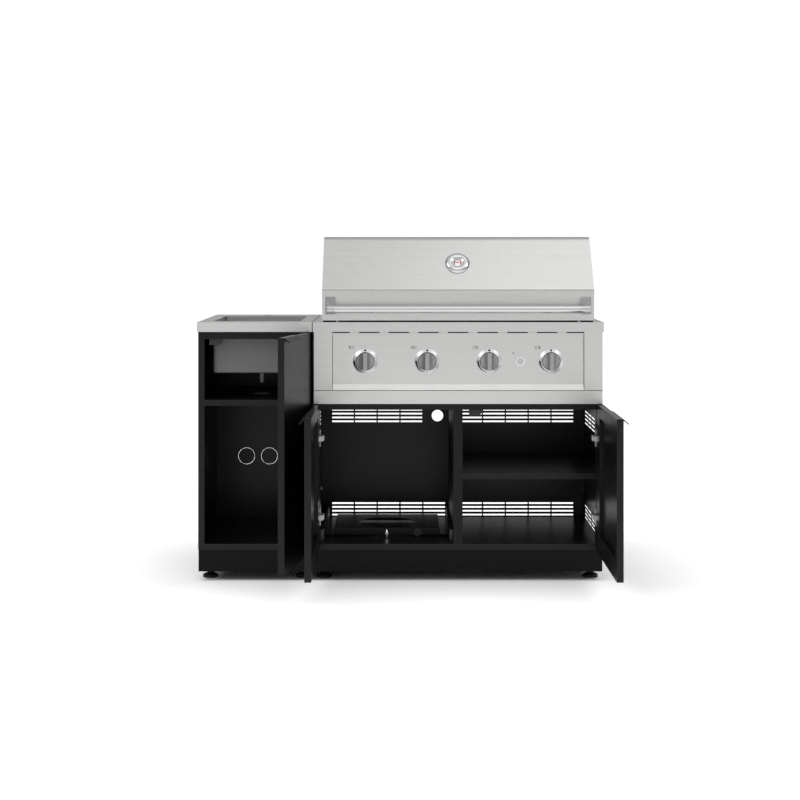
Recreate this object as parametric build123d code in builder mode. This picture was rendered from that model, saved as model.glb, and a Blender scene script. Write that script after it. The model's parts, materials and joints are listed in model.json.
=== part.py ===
from build123d import *

import os
from math import cos, radians, sin, tan

# Modular outdoor kitchen, in millimetres: a sink cabinet beside a gas grill on its own cabinet.
# Pieces are drawn from a datum at the middle of the grill cabinet, on its door frame, at the floor:
# +X to the right, +Y to the back, +Z up. Each is then moved to the origin, which is the middle of
# the base of the whole kitchen's box, with the doors open as they stand.

os.makedirs("parts", exist_ok=True)

# Cabinets
GRILL_W = 1016.0
SINK_W = 399.0
MODULE_GAP = 6.0
CARCASS_D = 560.0
SHEET = 1.5
FLANGE = 22.0
FRONT_LIP = 35.0
FOOT_H = 33.0
PLINTH_H = 78.0
PLINTH_SETBACK = 10.0
PLINTH_SHEET = 2.0
GUSSET = 66.0
GUSSET_T = 3.0
PAN_EDGE = 21.0
SINK_SHELF_Z = 638.0
GRILL_SHELF_Z = 380.0
DIVIDER_W = 32.0
RAIL_FLANGE = 20.0
SINK_RAIL_H = 59.0
GRILL_RAIL_H = 69.0

# Door catches under the front rails
CATCH_INSET = 39.0
CATCH_W = 46.0
CATCH_H = 21.0
CATCH_D = 15.0
CATCH_SLANT = 11.0
CATCH_FRONT = 2.0

# Bolts that join the two cabinets
JOIN_R = 4.0
JOIN_CLEARANCE = 0.2
JOIN_HEAD_R = 8.0
JOIN_HEAD_T = 5.0
JOIN_SPACER_R = 9.0
JOIN_YS = (90.0, 500.0)
JOIN_ZS = (250.0, 600.0)

# Levelling feet
FOOT_R = 27.0
FOOT_RIM = 9.0
FOOT_NECK_R = 9.0
FOOT_NECK_Z = 18.0
FOOT_NUT_R = 11.0
FOOT_NUT_H = 8.0
FOOT_STEM_R = 6.0
FOOT_STEM_UP = 14.0
FOOT_CLEARANCE = 0.3
FOOT_SIDE_INSET = 34.0
FOOT_END_INSET = 74.0

# Worktops
WORKTOP_Z = 912.0
WORKTOP_FRONT = 25.0
WORKTOP_REAR = 25.0
WORKTOP_FOLD = 34.0
TAP_HOLE_R = 17.5
TAP_HOLE_Y = 495.0

# Basin and drain
BASIN_W = 310.0
BASIN_SHIFT = 3.0
BASIN_L = 386.0
BASIN_FRONT = 54.0
BASIN_DEPTH = 184.0
BASIN_WALL = 1.2
BASIN_CORNER = 16.0
BASIN_FOOT_ROUND = 8.0
BASIN_FLANGE = 14.0
DRAIN_R = 24.5
DRAIN_RIM_R = 40.0
DRAIN_RIM_T = 2.0
DRAIN_NUT_R = 32.0
DRAIN_NUT_H = 12.0
DRAIN_TAIL_R = 8.0
DRAIN_TAIL_L = 37.0
DRAIN_TAIL_WALL = 1.5
SHELF_HOLE_R = 36.0

# Knock-outs in the sink cabinet's back
KNOCKOUT_R = 32.0
KNOCKOUT_SLIT = 1.0
KNOCKOUT_TAB = 3.0
KNOCKOUT_TABS = 3
KNOCKOUT_PITCH = 88.3
KNOCKOUT_COUNT = 3
KNOCKOUT_SHIFT = 4.4
KNOCKOUT_Z = 366.0

# Vents
VENT_L = 83.0
VENT_PITCH = 88.3
VENT_H = 6.3
VENT_ROUND = 1.4
VENT_ROW_PITCH = 14.8
VENT_ROWS = 4
VENT_COLUMNS = 5
VENT_UPPER_Z = 522.0
VENT_LOWER_Z = 161.0
VENT_SPREAD = 248.0
SIDE_VENT_L = 98.0
SIDE_VENT_PITCH = 103.0
SIDE_VENT_COLUMNS = 3
SIDE_VENT_Y = 365.0
GAS_HOLE_R = 22.2
GAS_HOLE_X = -59.0

# Doors
DOOR_T = 22.0
DOOR_SKIN = 1.2
DOOR_GAP = 3.0
DOOR_REVEAL = 2.0
DOOR_MEETING_GAP = 4.0
DOOR_BOTTOM_Z = 106.0
DOOR_TOP_GAP = 3.0
DOOR_BORDER = 40.0
DOOR_HINGE_BORDER = 70.0
DOOR_RECESS = 12.0
SINK_DOOR_OPEN = 80.0
GRILL_DOOR_OPEN = 90.0

# Door pulls
PULL_OUT = 17.0
PULL_DROP = 15.0
PULL_SHEET = 3.0
PULL_END = 6.0
SINK_PULL_L = 185.0
GRILL_PULL_L = 242.0

# Door hinges
PIVOT_SIDE = 8.0
PIVOT_FACE = 9.0
HINGE_INSET = 120.0
HINGE_PIN_R = 3.0
HINGE_RUNNING = 0.05
HINGE_KNUCKLE_R = 5.0
HINGE_ARM_H = 17.0
HINGE_ARM_T = 8.0
HINGE_LEG_T = 6.0
HINGE_PLATE_H = 60.0
HINGE_PLATE_T = 2.5
HINGE_PLATE_L = 30.0
HINGE_PLATE_FRONT = 3.0
HINGE_BLOCK_T = 12.5
HINGE_ARM_GAP = 4.0
HINGE_EAR_T = 4.0
HINGE_EAR_GAP = 0.3
HINGE_EAR_REACH = 6.0
HINGE_CUP_T = 1.6
HINGE_SLOT_GAP = 1.5
HINGE_SLOT_L = 40.0

# Gas cylinder tray
TRAY_SHEET = 2.0
TRAY_LIFT = 4.0
TRAY_FRONT = 150.0
TRAY_L = 300.0
TRAY_WALL_H = 30.0
TRAY_STEP_W = 380.0
TRAY_STEP_H = 24.0
TANK_HOLE_R = 103.5
TANK_HOLE_BACK = 120.0
SLIDE_H = 45.0
SLIDE_W = 10.0
SLIDE_WALL = 2.0
SLIDE_L = 480.0
SLIDE_FRONT = 30.0
SLIDE_CLEARANCE = 0.3
RUNNER_FRONT = 60.0
RUNNER_L = 450.0
RUNNER_PROUD = 1.5
CLAMP_R = 4.0
CLAMP_L = 62.0
CLAMP_HEAD_R = 6.0
CLAMP_HEAD_T = 8.0
CLAMP_WING = 13.0
CLAMP_WING_T = 4.0
CLAMP_STICKOUT = 38.0
LOCK_X = 110.0
LOCK_R = 15.0
LOCK_T = 12.0
LOCK_STEM_R = 4.0
LOCK_TONGUE = 14.0
LOCK_TONGUE_T = 3.0

# Grill head
HEAD_W = 1010.0
HEAD_BASE_Z = 674.0
HEAD_FLANGE = 20.0
APRON_FRONT = 23.0
APRON_H = 46.0
APRON_GAP = 2.0
APRON_RETURN = 15.0
POST_W = 64.0
POST_LAP = 5.0
PANEL_TOP_GAP = 4.5
PANEL_RECESS = 9.0
PANEL_SILL = 20.0
PANEL_SIDE_GAP = 1.5
PANEL_TAB_W = 32.0
PANEL_TAB_PITCH = 104.0
PANEL_TABS = 8
KNOB_PITCH = 217.0
KNOB_COUNT = 4
KNOB_Z = 775.0
KNOB_R = 30.0
KNOB_L = 34.0
KNOB_BLADE_W = 14.0
KNOB_SCOOP_R = 25.0
KNOB_SKIRT = 11.0
KNOB_ROUND = 1.5
KNOB_BEZEL_R = 43.8
KNOB_BEZEL_TOP_R = 32.0
KNOB_BEZEL_H = 9.0
KNOB_BEZEL_BASE = 2.0
KNOB_BEZEL_GAP = 1.0
KNOB_LIFT = 0.5
STEM_R = 4.0
STEM_L = 26.0
STEM_HOLE_R = 7.0
RUNNING = 0.05
IGNITER_R = 12.35
IGNITER_BEZEL_R = 17.0
IGNITER_BEZEL_H = 6.0
IGNITER_BARREL_R = 14.0
IGNITER_BARREL_L = 30.0
IGNITER_END = 2.0
IGNITER_L = 24.0
IGNITER_PROUD = 4.0
IGNITER_HOLE_GAP = 0.3
IGNITER_DISH_R = 9.0
IGNITER_DISH = 0.8

# Fire box and gas train
FIREBOX_W = 860.0
FIREBOX_FRONT = 60.0
FIREBOX_L = 440.0
FIREBOX_FLOOR_Z = 735.0
FIREBOX_FLANGE = 25.0
FIREBOX_LEDGE = 12.0
TAMER_LEDGE_Z = 800.0
GRATE_LEDGE_Z = 880.0
GREASE_W = 600.0
GREASE_L = 270.0
RIM_LIP = 10.0
BURNER_R = 12.5
BURNER_WALL = 1.5
BURNER_FRONT = 46.0
BURNER_BACK_GAP = 12.0
BURNER_PEG_R = 4.0
BURNER_PEG_L = 20.0
BURNER_HOLE_GAP = 0.3
PORT_R = 1.6
PORT_PITCH = 22.0
PORT_COUNT = 17
TAMER_W = 112.0
TAMER_H = 34.0
TAMER_SHEET = 1.5
TAMER_GAP = 2.0
MANIFOLD = 20.0
MANIFOLD_WALL = 1.5
MANIFOLD_Y = 10.0
VALVE_W = 22.0
VALVE_FRONT = -10.0
VALVE_L = 40.0
VALVE_H = 30.0
NOZZLE_R = 4.0
NOZZLE_L = 20.0
GRATE_COUNT = 3
GRATE_BARS = 14
GRATE_BAR_W = 8.0
GRATE_BAR_H = 12.0
GRATE_CROSS_H = 8.0
GRATE_CROSSES = 3
GRATE_GAP = 2.0
RACK_X = 455.0
RACK_ROD_R = 3.0
RACK_LEG_R = 4.0
RACK_Z = 1015.0
RACK_FRONT = 350.0
RACK_D = 112.0
RACK_RODS = 8
DRIP_W = 796.0
DRIP_FRONT = 75.0
DRIP_BACK_GAP = 12.0
DRIP_H = 24.0
DRIP_WALL = 1.2
DRIP_Z = 691.8
DRIP_PULL_W = 120.0
DRIP_PULL_L = 24.0
DRIP_PULL_T = 2.0
DRIP_RAIL_GAP = 1.5
DRIP_RAIL_LEDGE = 16.0
DRIP_CLEARANCE = 0.3
DRIP_SLOT_GAP = 7.0

# Hood
HOOD_W = 954.0
HOOD_FRONT = 14.0
HOOD_BASE_GAP = 5.6
HOOD_CREASE_Z = 1024.0
HOOD_SLOPE = 51.5
HOOD_TOP_Z = 1211.0
HOOD_BACK = 530.0
HOOD_CREASE_R = 8.0
HOOD_BROW_R = 35.0
HOOD_CROWN_R = 150.0
HOOD_PIVOT_Y = 515.0
HOOD_PIVOT_Z = 935.0
HOOD_PIN_R = 6.0
HOOD_PIN_HEAD_R = 9.0
HOOD_PIN_HEAD_T = 2.5
HOOD_PIN_HEAD_GAP = 0.4
HOOD_BRACKET_T = 4.0
HOOD_BRACKET_GAP = 1.5
HOOD_BRACKET_R = 12.0
HOOD_BRACKET_L = 18.0
HOOD_HEEL = 24.0
BUMPER_R = 4.5
BUMPER_X = 424.0
BUMPER_IN = 6.0
BUMPER_CLEARANCE = 0.3
BAR_R = 13.5
BAR_OUT = 47.0
BAR_Z = 958.5
BAR_HALF_L = 450.0
GRIP_CAP_R = 16.0
GRIP_INNER = 430.0
GRIP_END = 457.0
GRIP_TIP_END = 446.0
GRIP_ROOT_END = 466.0
GRIP_ROOT_TOP = 1001.0
GRIP_ROOT_BOTTOM = 938.0
GRIP_TIP_H = 24.0

# Thermometer
GAUGE_UP_SLOPE = 118.0
GAUGE_R = 44.0
GAUGE_EDGE = 2.0
GAUGE_DOME = 12.0
GAUGE_EYE_R = 18.5
GAUGE_H = 9.0
GAUGE_WELL = 4.5
GAUGE_STEM_R = 7.0
GAUGE_STEM_L = 60.0
GAUGE_HOLE_GAP = 0.3
DIAL_R = 18.3
DIAL_T = 1.0
NEEDLE_L = 13.0
NEEDLE_TAIL = 5.0
NEEDLE_W = 2.0
NEEDLE_T = 0.6
NEEDLE_HUB_R = 3.0
NEEDLE_HUB_T = 1.0
NEEDLE_PIN_R = 1.0
NEEDLE_PIN_L = 0.9
NEEDLE_LIFT = 0.3
LENS_T = 1.2
LENS_DROP = 0.4

# Derived places
GRILL_X0, GRILL_X1 = -GRILL_W / 2, GRILL_W / 2
SINK_X1 = GRILL_X0 - MODULE_GAP
SINK_X0 = SINK_X1 - SINK_W
SINK_X = (SINK_X0 + SINK_X1) / 2
BASIN_X = SINK_X + BASIN_SHIFT
BASE_Z = FOOT_H + PLINTH_H
FLOOR_Z = BASE_Z + PAN_EDGE
SINK_TOP_Z = WORKTOP_Z - SHEET
FOLD_Z = WORKTOP_Z - WORKTOP_FOLD
WORKTOP_BACK = CARCASS_D + WORKTOP_REAR
APRON_TOP_Z = HEAD_BASE_Z - APRON_GAP
APRON_Z = APRON_TOP_Z - APRON_H
GRILL_RAIL_Z = APRON_TOP_Z - GRILL_RAIL_H
SINK_RAIL_Z = SINK_TOP_Z - SINK_RAIL_H
GRILL_DOOR_TOP_Z = APRON_Z - DOOR_TOP_GAP
SINK_DOOR_TOP_Z = FOLD_Z - DOOR_TOP_GAP
GRILL_DOOR_W = (GRILL_W - DOOR_MEETING_GAP) / 2
SINK_DOOR_W = SINK_W - DOOR_REVEAL
PIVOT_Y = PIVOT_FACE - DOOR_T - DOOR_GAP
POST_BACK = SHEET - APRON_FRONT
PANEL_FACE = PANEL_RECESS - APRON_FRONT
HOOD_BASE_Z = WORKTOP_Z + HOOD_BASE_GAP
BAR_Y = -HOOD_FRONT - BAR_OUT

# Where the pull's sheet ends, outside the door
PULL_LENGTH = (PULL_OUT**2 + PULL_DROP**2) ** 0.5
PULL_TIP = PULL_OUT + PULL_SHEET * PULL_DROP / PULL_LENGTH

# The box of the whole kitchen, which sets the origin
LEFT_X = SINK_X0 - SHEET
RIGHT_X = GRILL_X1 - PIVOT_SIDE + PIVOT_FACE + PULL_TIP
FRONT_Y = PIVOT_Y - (GRILL_DOOR_W - PIVOT_SIDE)
TO_ORIGIN = Location((-(LEFT_X + RIGHT_X) / 2, -(FRONT_Y + WORKTOP_BACK) / 2, 0))


def save(piece, name):
    """Label a finished piece, move it from the datum to the origin and write it."""
    finished = piece.part.moved(TO_ORIGIN)
    finished.label = name
    export_step(finished, f"parts/{name}.step")


def block(corner, opposite, mode=Mode.ADD):
    """Add or cut a box between two opposite corners."""
    middle = tuple((a + b) / 2 for a, b in zip(corner, opposite))
    size = (abs(b - a) for a, b in zip(corner, opposite))
    with Locations(middle):
        Box(*size, mode=mode)


def rod(radius, start, end, mode=Mode.ADD):
    """Add or cut a cylinder from one point to another."""
    path = Vector(*end) - Vector(*start)
    with Locations(Plane(origin=start, z_dir=path)):
        Cylinder(radius, path.length, align=(Align.CENTER, Align.CENTER, Align.MIN), mode=mode)


# Base of a cabinet: plinth frame and levelling feet


def foot_places(x0, x1):
    """Centres of a cabinet's four feet."""
    xs = (x0 + FOOT_SIDE_INSET, x1 - FOOT_SIDE_INSET)
    ys = (PLINTH_SETBACK + FOOT_END_INSET, CARCASS_D - FOOT_END_INSET)
    return [(x, y) for x in xs for y in ys]


def plinth(x0, x1):
    """Add a four-sided base frame with a drilled gusset over each foot."""
    y0, y1, inner = PLINTH_SETBACK, CARCASS_D, PLINTH_SHEET
    block((x0, y0, FOOT_H), (x1, y1, BASE_Z))
    block((x0 + inner, y0 + inner, FOOT_H), (x1 - inner, y1 - inner, BASE_Z), Mode.SUBTRACT)
    length = FOOT_END_INSET + GUSSET / 2
    for x in (x0, x1 - GUSSET):
        for y in (y0, y1 - length):
            block((x, y, FOOT_H), (x + GUSSET, y + length, FOOT_H + GUSSET_T))
    for x, y in foot_places(x0, x1):
        top = FOOT_H + GUSSET_T
        rod(FOOT_STEM_R + FOOT_CLEARANCE, (x, y, FOOT_H), (x, y, top), Mode.SUBTRACT)


with BuildPart() as plinths:
    plinth(SINK_X0, SINK_X1)
    plinth(GRILL_X0, GRILL_X1)
save(plinths, "plinths")

with BuildPart() as levelling_feet:
    for place in foot_places(SINK_X0, SINK_X1) + foot_places(GRILL_X0, GRILL_X1):
        with BuildSketch(Plane(origin=(*place, 0), x_dir=(1, 0, 0), z_dir=(0, -1, 0))):
            with BuildLine():
                Polyline(
                    (0, 0),
                    (FOOT_R, 0),
                    (FOOT_R, FOOT_RIM),
                    (FOOT_NECK_R, FOOT_NECK_Z),
                    (FOOT_NECK_R, FOOT_H - FOOT_NUT_H),
                    (FOOT_NUT_R, FOOT_H - FOOT_NUT_H),
                    (FOOT_NUT_R, FOOT_H),
                    (FOOT_STEM_R, FOOT_H),
                    (FOOT_STEM_R, FOOT_H + FOOT_STEM_UP),
                    (0, FOOT_H + FOOT_STEM_UP),
                    close=True,
                )
            make_face()
        revolve(axis=Axis((*place, 0), (0, 0, 1)))
save(levelling_feet, "levelling_feet")


# Carcasses: folded sides, floors, shelves, backs and rails


def side_panel(name, outer_x, inward, top_z, vented=False, joined=False):
    """Folded side: web, front post with a lip, back flange and top flange.

    inward is +1 on a left side and -1 on a right side. A joined side has the bolt holes.
    """

    def inset(distance):
        return outer_x + inward * distance

    with BuildPart() as panel:
        block((inset(0), 0, BASE_Z), (inset(SHEET), CARCASS_D, top_z))
        block((inset(0), 0, BASE_Z), (inset(FLANGE), SHEET, top_z))
        block((inset(FLANGE - SHEET), 0, BASE_Z), (inset(FLANGE), FRONT_LIP, top_z))
        block((inset(0), CARCASS_D - SHEET, BASE_Z), (inset(FLANGE), CARCASS_D, top_z))
        block((inset(0), 0, top_z - SHEET), (inset(FLANGE), CARCASS_D, top_z))
        if vented:
            with BuildSketch(Plane.YZ.offset(outer_x)):
                for vent_z in (VENT_UPPER_Z, VENT_LOWER_Z):
                    with Locations((SIDE_VENT_Y, vent_z)):
                        with GridLocations(SIDE_VENT_PITCH, VENT_ROW_PITCH, SIDE_VENT_COLUMNS, VENT_ROWS):
                            RectangleRounded(SIDE_VENT_L, VENT_H, VENT_ROUND)
            extrude(amount=inward * SHEET, mode=Mode.SUBTRACT)
        if joined:
            for y in JOIN_YS:
                for z in JOIN_ZS:
                    hole = JOIN_R + JOIN_CLEARANCE
                    rod(hole, (inset(0), y, z), (inset(SHEET), y, z), Mode.SUBTRACT)
    save(panel, name)


side_panel("sink_side_left", SINK_X0, 1, SINK_TOP_Z)
side_panel("sink_side_right", SINK_X1, -1, SINK_TOP_Z, joined=True)
side_panel("grill_side_left", GRILL_X0, 1, HEAD_BASE_Z, vented=True, joined=True)
side_panel("grill_side_right", GRILL_X1, -1, HEAD_BASE_Z, vented=True)

with BuildPart() as module_bolts:
    for bolt_y in JOIN_YS:
        for bolt_z in JOIN_ZS:
            left, right = SINK_X1 - SHEET, GRILL_X0 + SHEET
            rod(JOIN_R, (left, bolt_y, bolt_z), (right, bolt_y, bolt_z))
            rod(JOIN_HEAD_R, (left - JOIN_HEAD_T, bolt_y, bolt_z), (left, bolt_y, bolt_z))
            rod(JOIN_HEAD_R, (right, bolt_y, bolt_z), (right + JOIN_HEAD_T, bolt_y, bolt_z))
            rod(JOIN_SPACER_R, (SINK_X1, bolt_y, bolt_z), (GRILL_X0, bolt_y, bolt_z))
save(module_bolts, "module_bolts")


def folded_pan(x0, x1, notch0, notch1, top_z):
    """Add a floor or shelf: a sheet with its edges folded down, notched round the front posts."""
    back = CARCASS_D - SHEET
    bottom_z, under_z = top_z - PAN_EDGE, top_z - SHEET
    block((x0, FRONT_LIP, under_z), (x1, back, top_z))
    block((x0 + notch0, 0, under_z), (x1 - notch1, FRONT_LIP, top_z))
    block((x0 + notch0, 0, bottom_z), (x1 - notch1, SHEET, top_z))
    block((x0, back - SHEET, bottom_z), (x1, back, top_z))
    block((x0, FRONT_LIP, bottom_z), (x0 + SHEET, back, top_z))
    block((x1 - SHEET, FRONT_LIP, bottom_z), (x1, back, top_z))


POST_NOTCH = FLANGE - SHEET

with BuildPart() as cabinet_floors:
    folded_pan(SINK_X0 + SHEET, SINK_X1 - SHEET, POST_NOTCH, POST_NOTCH, FLOOR_Z)
    folded_pan(GRILL_X0 + SHEET, GRILL_X1 - SHEET, POST_NOTCH, POST_NOTCH, FLOOR_Z)
save(cabinet_floors, "cabinet_floors")

DRAIN_Y = BASIN_FRONT + BASIN_L / 2
BASIN_Z = WORKTOP_Z - BASIN_DEPTH

with BuildPart() as shelves:
    folded_pan(SINK_X0 + SHEET, SINK_X1 - SHEET, POST_NOTCH, POST_NOTCH, SINK_SHELF_Z)
    folded_pan(DIVIDER_W / 2, GRILL_X1 - SHEET, 0, POST_NOTCH, GRILL_SHELF_Z)
    top = (BASIN_X, DRAIN_Y, SINK_SHELF_Z)
    rod(SHELF_HOLE_R, (BASIN_X, DRAIN_Y, SINK_SHELF_Z - SHEET), top, Mode.SUBTRACT)
save(shelves, "shelves")

with BuildPart() as divider:
    half, back = DIVIDER_W / 2, CARCASS_D - SHEET
    block((-half, 0, FLOOR_Z), (half, back, GRILL_RAIL_Z))
    inner = half - SHEET
    block((-inner, SHEET, FLOOR_Z), (inner, back - SHEET, GRILL_RAIL_Z), Mode.SUBTRACT)
save(divider, "divider")

with BuildPart() as sink_back:
    with BuildSketch(Plane.XZ.offset(-CARCASS_D - SHEET)):
        with Locations((SINK_X, (BASE_Z + SINK_TOP_Z) / 2)):
            Rectangle(SINK_W, SINK_TOP_Z - BASE_Z)
        with Locations((SINK_X + KNOCKOUT_SHIFT, KNOCKOUT_Z)):
            with GridLocations(KNOCKOUT_PITCH, 0, KNOCKOUT_COUNT, 1):
                Circle(KNOCKOUT_R, mode=Mode.SUBTRACT)
                Circle(KNOCKOUT_R - KNOCKOUT_SLIT)
                with PolarLocations(KNOCKOUT_R - KNOCKOUT_SLIT / 2, KNOCKOUT_TABS):
                    Rectangle(2 * KNOCKOUT_SLIT, KNOCKOUT_TAB)
    extrude(amount=SHEET)
save(sink_back, "sink_back")

with BuildPart() as grill_back:
    with BuildSketch(Plane.XZ.offset(-CARCASS_D - SHEET)):
        with Locations((0, (BASE_Z + HEAD_BASE_Z) / 2)):
            Rectangle(GRILL_W, HEAD_BASE_Z - BASE_Z)
        full = [(VENT_SPREAD, VENT_UPPER_Z), (VENT_SPREAD, VENT_LOWER_Z), (-VENT_SPREAD, VENT_LOWER_Z)]
        with Locations(*full):
            with GridLocations(VENT_PITCH, VENT_ROW_PITCH, VENT_COLUMNS, VENT_ROWS):
                RectangleRounded(VENT_L, VENT_H, VENT_ROUND, mode=Mode.SUBTRACT)
        with Locations((-VENT_SPREAD - VENT_PITCH / 2, VENT_UPPER_Z)):
            with GridLocations(VENT_PITCH, VENT_ROW_PITCH, VENT_COLUMNS - 1, VENT_ROWS):
                RectangleRounded(VENT_L, VENT_H, VENT_ROUND, mode=Mode.SUBTRACT)
        with Locations((GAS_HOLE_X, VENT_UPPER_Z)):
            Circle(GAS_HOLE_R, mode=Mode.SUBTRACT)
    extrude(amount=SHEET)
save(grill_back, "grill_back")


def top_rails(x0, x1, low_z, top_z):
    """Add a front and a back rail between a carcass's posts, each with a flange at its foot."""
    left, right, back = x0 + FLANGE, x1 - FLANGE, CARCASS_D
    block((left, 0, low_z), (right, SHEET, top_z))
    block((left, 0, low_z), (right, RAIL_FLANGE, low_z + SHEET))
    block((left, back - SHEET, low_z), (right, back, top_z))
    block((left, back - RAIL_FLANGE, low_z), (right, back, low_z + SHEET))


with BuildPart() as carcass_rails:
    top_rails(SINK_X0, SINK_X1, SINK_RAIL_Z, SINK_TOP_Z)
    top_rails(GRILL_X0, GRILL_X1, GRILL_RAIL_Z, APRON_TOP_Z)
save(carcass_rails, "carcass_rails")

with BuildPart() as door_catches:
    for start_x, top_z in ((SINK_X0 + CATCH_INSET, SINK_RAIL_Z), (CATCH_INSET, GRILL_RAIL_Z)):
        low_z = top_z - CATCH_H
        with BuildSketch(Plane.XZ.offset(-CATCH_FRONT)):
            with BuildLine():
                Polyline(
                    (start_x, top_z),
                    (start_x, low_z),
                    (start_x + CATCH_W - CATCH_SLANT, low_z),
                    (start_x + CATCH_W, low_z + CATCH_SLANT),
                    (start_x + CATCH_W, top_z),
                    close=True,
                )
            make_face()
        extrude(amount=-CATCH_D)
save(door_catches, "door_catches")

with BuildPart() as apron:
    half, face = HEAD_W / 2, -APRON_FRONT
    block((-half, face, APRON_Z), (half, face + SHEET, APRON_TOP_Z))
    block((-half, face, APRON_TOP_Z - SHEET), (half, 0, APRON_TOP_Z))
    block((-half, face, APRON_Z), (half, face + APRON_RETURN, APRON_Z + SHEET))
save(apron, "apron")


# Worktop, basin and drain


def folded_top(x0, x1):
    """Add a worktop sheet with its four edges folded down."""
    left, right, front, back = x0 - SHEET, x1 + SHEET, -WORKTOP_FRONT, WORKTOP_BACK
    block((left, front, FOLD_Z), (right, back, WORKTOP_Z))
    inner = ((left + SHEET, front + SHEET, FOLD_Z), (right - SHEET, back - SHEET, WORKTOP_Z - SHEET))
    block(*inner, Mode.SUBTRACT)


BASIN_Y = BASIN_FRONT + BASIN_L / 2

with BuildPart() as sink_worktop:
    folded_top(SINK_X0, SINK_X1)
    with BuildSketch(Plane.XY.offset(WORKTOP_Z)):
        with Locations((BASIN_X, BASIN_Y)):
            RectangleRounded(BASIN_W, BASIN_L, BASIN_CORNER)
        with Locations((BASIN_X, TAP_HOLE_Y)):
            Circle(TAP_HOLE_R)
    extrude(amount=-SHEET, mode=Mode.SUBTRACT)
save(sink_worktop, "sink_worktop")

with BuildPart() as sink_basin:
    under = SINK_TOP_Z
    with BuildSketch(Plane.XY.offset(BASIN_Z)):
        with Locations((BASIN_X, BASIN_Y)):
            wide, long = BASIN_W + 2 * BASIN_WALL, BASIN_L + 2 * BASIN_WALL
            RectangleRounded(wide, long, BASIN_CORNER + BASIN_WALL)
    extrude(amount=under - BASIN_Z)
    fillet(sink_basin.faces().sort_by(Axis.Z)[0].edges(), BASIN_FOOT_ROUND)
    offset(amount=-BASIN_WALL, openings=sink_basin.faces().sort_by(Axis.Z)[-1])
    with BuildSketch(Plane.XY.offset(under)):
        with Locations((BASIN_X, BASIN_Y)):
            wide, long = BASIN_W + 2 * BASIN_FLANGE, BASIN_L + 2 * BASIN_FLANGE
            RectangleRounded(wide, long, BASIN_CORNER + BASIN_FLANGE)
            RectangleRounded(BASIN_W, BASIN_L, BASIN_CORNER, mode=Mode.SUBTRACT)
    extrude(amount=-BASIN_WALL)
    floor_top = (BASIN_X, DRAIN_Y, BASIN_Z + BASIN_WALL)
    rod(DRAIN_R, (BASIN_X, DRAIN_Y, BASIN_Z), floor_top, Mode.SUBTRACT)
save(sink_basin, "sink_basin")

with BuildPart() as sink_drain:
    rim_z = BASIN_Z + BASIN_WALL
    nut_z = BASIN_Z - DRAIN_NUT_H
    bore = DRAIN_TAIL_R - DRAIN_TAIL_WALL
    with BuildSketch(Plane(origin=(BASIN_X, DRAIN_Y, 0), x_dir=(1, 0, 0), z_dir=(0, -1, 0))):
        with BuildLine():
            Polyline(
                (bore, nut_z - DRAIN_TAIL_L),
                (DRAIN_TAIL_R, nut_z - DRAIN_TAIL_L),
                (DRAIN_TAIL_R, nut_z),
                (DRAIN_NUT_R, nut_z),
                (DRAIN_NUT_R, BASIN_Z),
                (DRAIN_R, BASIN_Z),
                (DRAIN_R, rim_z),
                (DRAIN_RIM_R, rim_z),
                (DRAIN_RIM_R, rim_z + DRAIN_RIM_T),
                (DRAIN_R, rim_z + DRAIN_RIM_T),
                (bore, BASIN_Z - DRAIN_NUT_H / 2),
                close=True,
            )
        make_face()
    revolve(axis=Axis((BASIN_X, DRAIN_Y, 0), (0, 0, 1)))
save(sink_drain, "sink_drain")


# Doors. In a door's own frame the pivot is the origin, x runs along the door away from the hinge,
# z is up, and out is +1 or -1: the side of y that the door's outer face is on.


def pivot_plane(side_x, hinge_on_right, opened):
    """Frame of a door's pivot, turned by the angle that the door stands open."""
    inward = -1 if hinge_on_right else 1
    angle = radians(opened)
    along = (inward * cos(angle), -sin(angle), 0)
    return Plane(origin=(side_x + inward * PIVOT_SIDE, PIVOT_Y, 0), x_dir=along, z_dir=(0, 0, 1))


def hinge_heights(top_z):
    """Heights of a door's two hinges."""
    return (DOOR_BOTTOM_Z + HINGE_INSET, top_z - HINGE_INSET)


def door_leaf(name, plane, out, width, top_z):
    """Double-skinned door: a hollow box with a recessed inner panel and slots for its hinges."""
    x0, x1 = -PIVOT_SIDE, width - PIVOT_SIDE
    face, inside = out * PIVOT_FACE, out * (PIVOT_FACE - DOOR_T)
    skin, z0, z1 = DOOR_SKIN, DOOR_BOTTOM_Z, top_z
    floor_y = inside + out * DOOR_RECESS
    low = (x0 + DOOR_HINGE_BORDER, inside, z0 + DOOR_HINGE_BORDER)
    high = (x1 - DOOR_BORDER, floor_y, z1 - DOOR_BORDER)
    with BuildPart(plane) as leaf:
        block((x0, inside, z0), (x1, face, z1))
        hollow = (x0 + skin, inside + out * skin, z0 + skin), (x1 - skin, face - out * skin, z1 - skin)
        block(*hollow, Mode.SUBTRACT)
        pan_high = (high[0] + skin, floor_y + out * skin, high[2] + skin)
        block((low[0] - skin, inside, low[2] - skin), pan_high)
        block(low, high, Mode.SUBTRACT)
        reach = HINGE_ARM_H / 2 + HINGE_SLOT_GAP
        for z in hinge_heights(top_z):
            slot = (x0 + skin, inside, z - reach), (x0 + HINGE_SLOT_L, inside + out * skin, z + reach)
            block(*slot, Mode.SUBTRACT)
    save(leaf, name)


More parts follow.
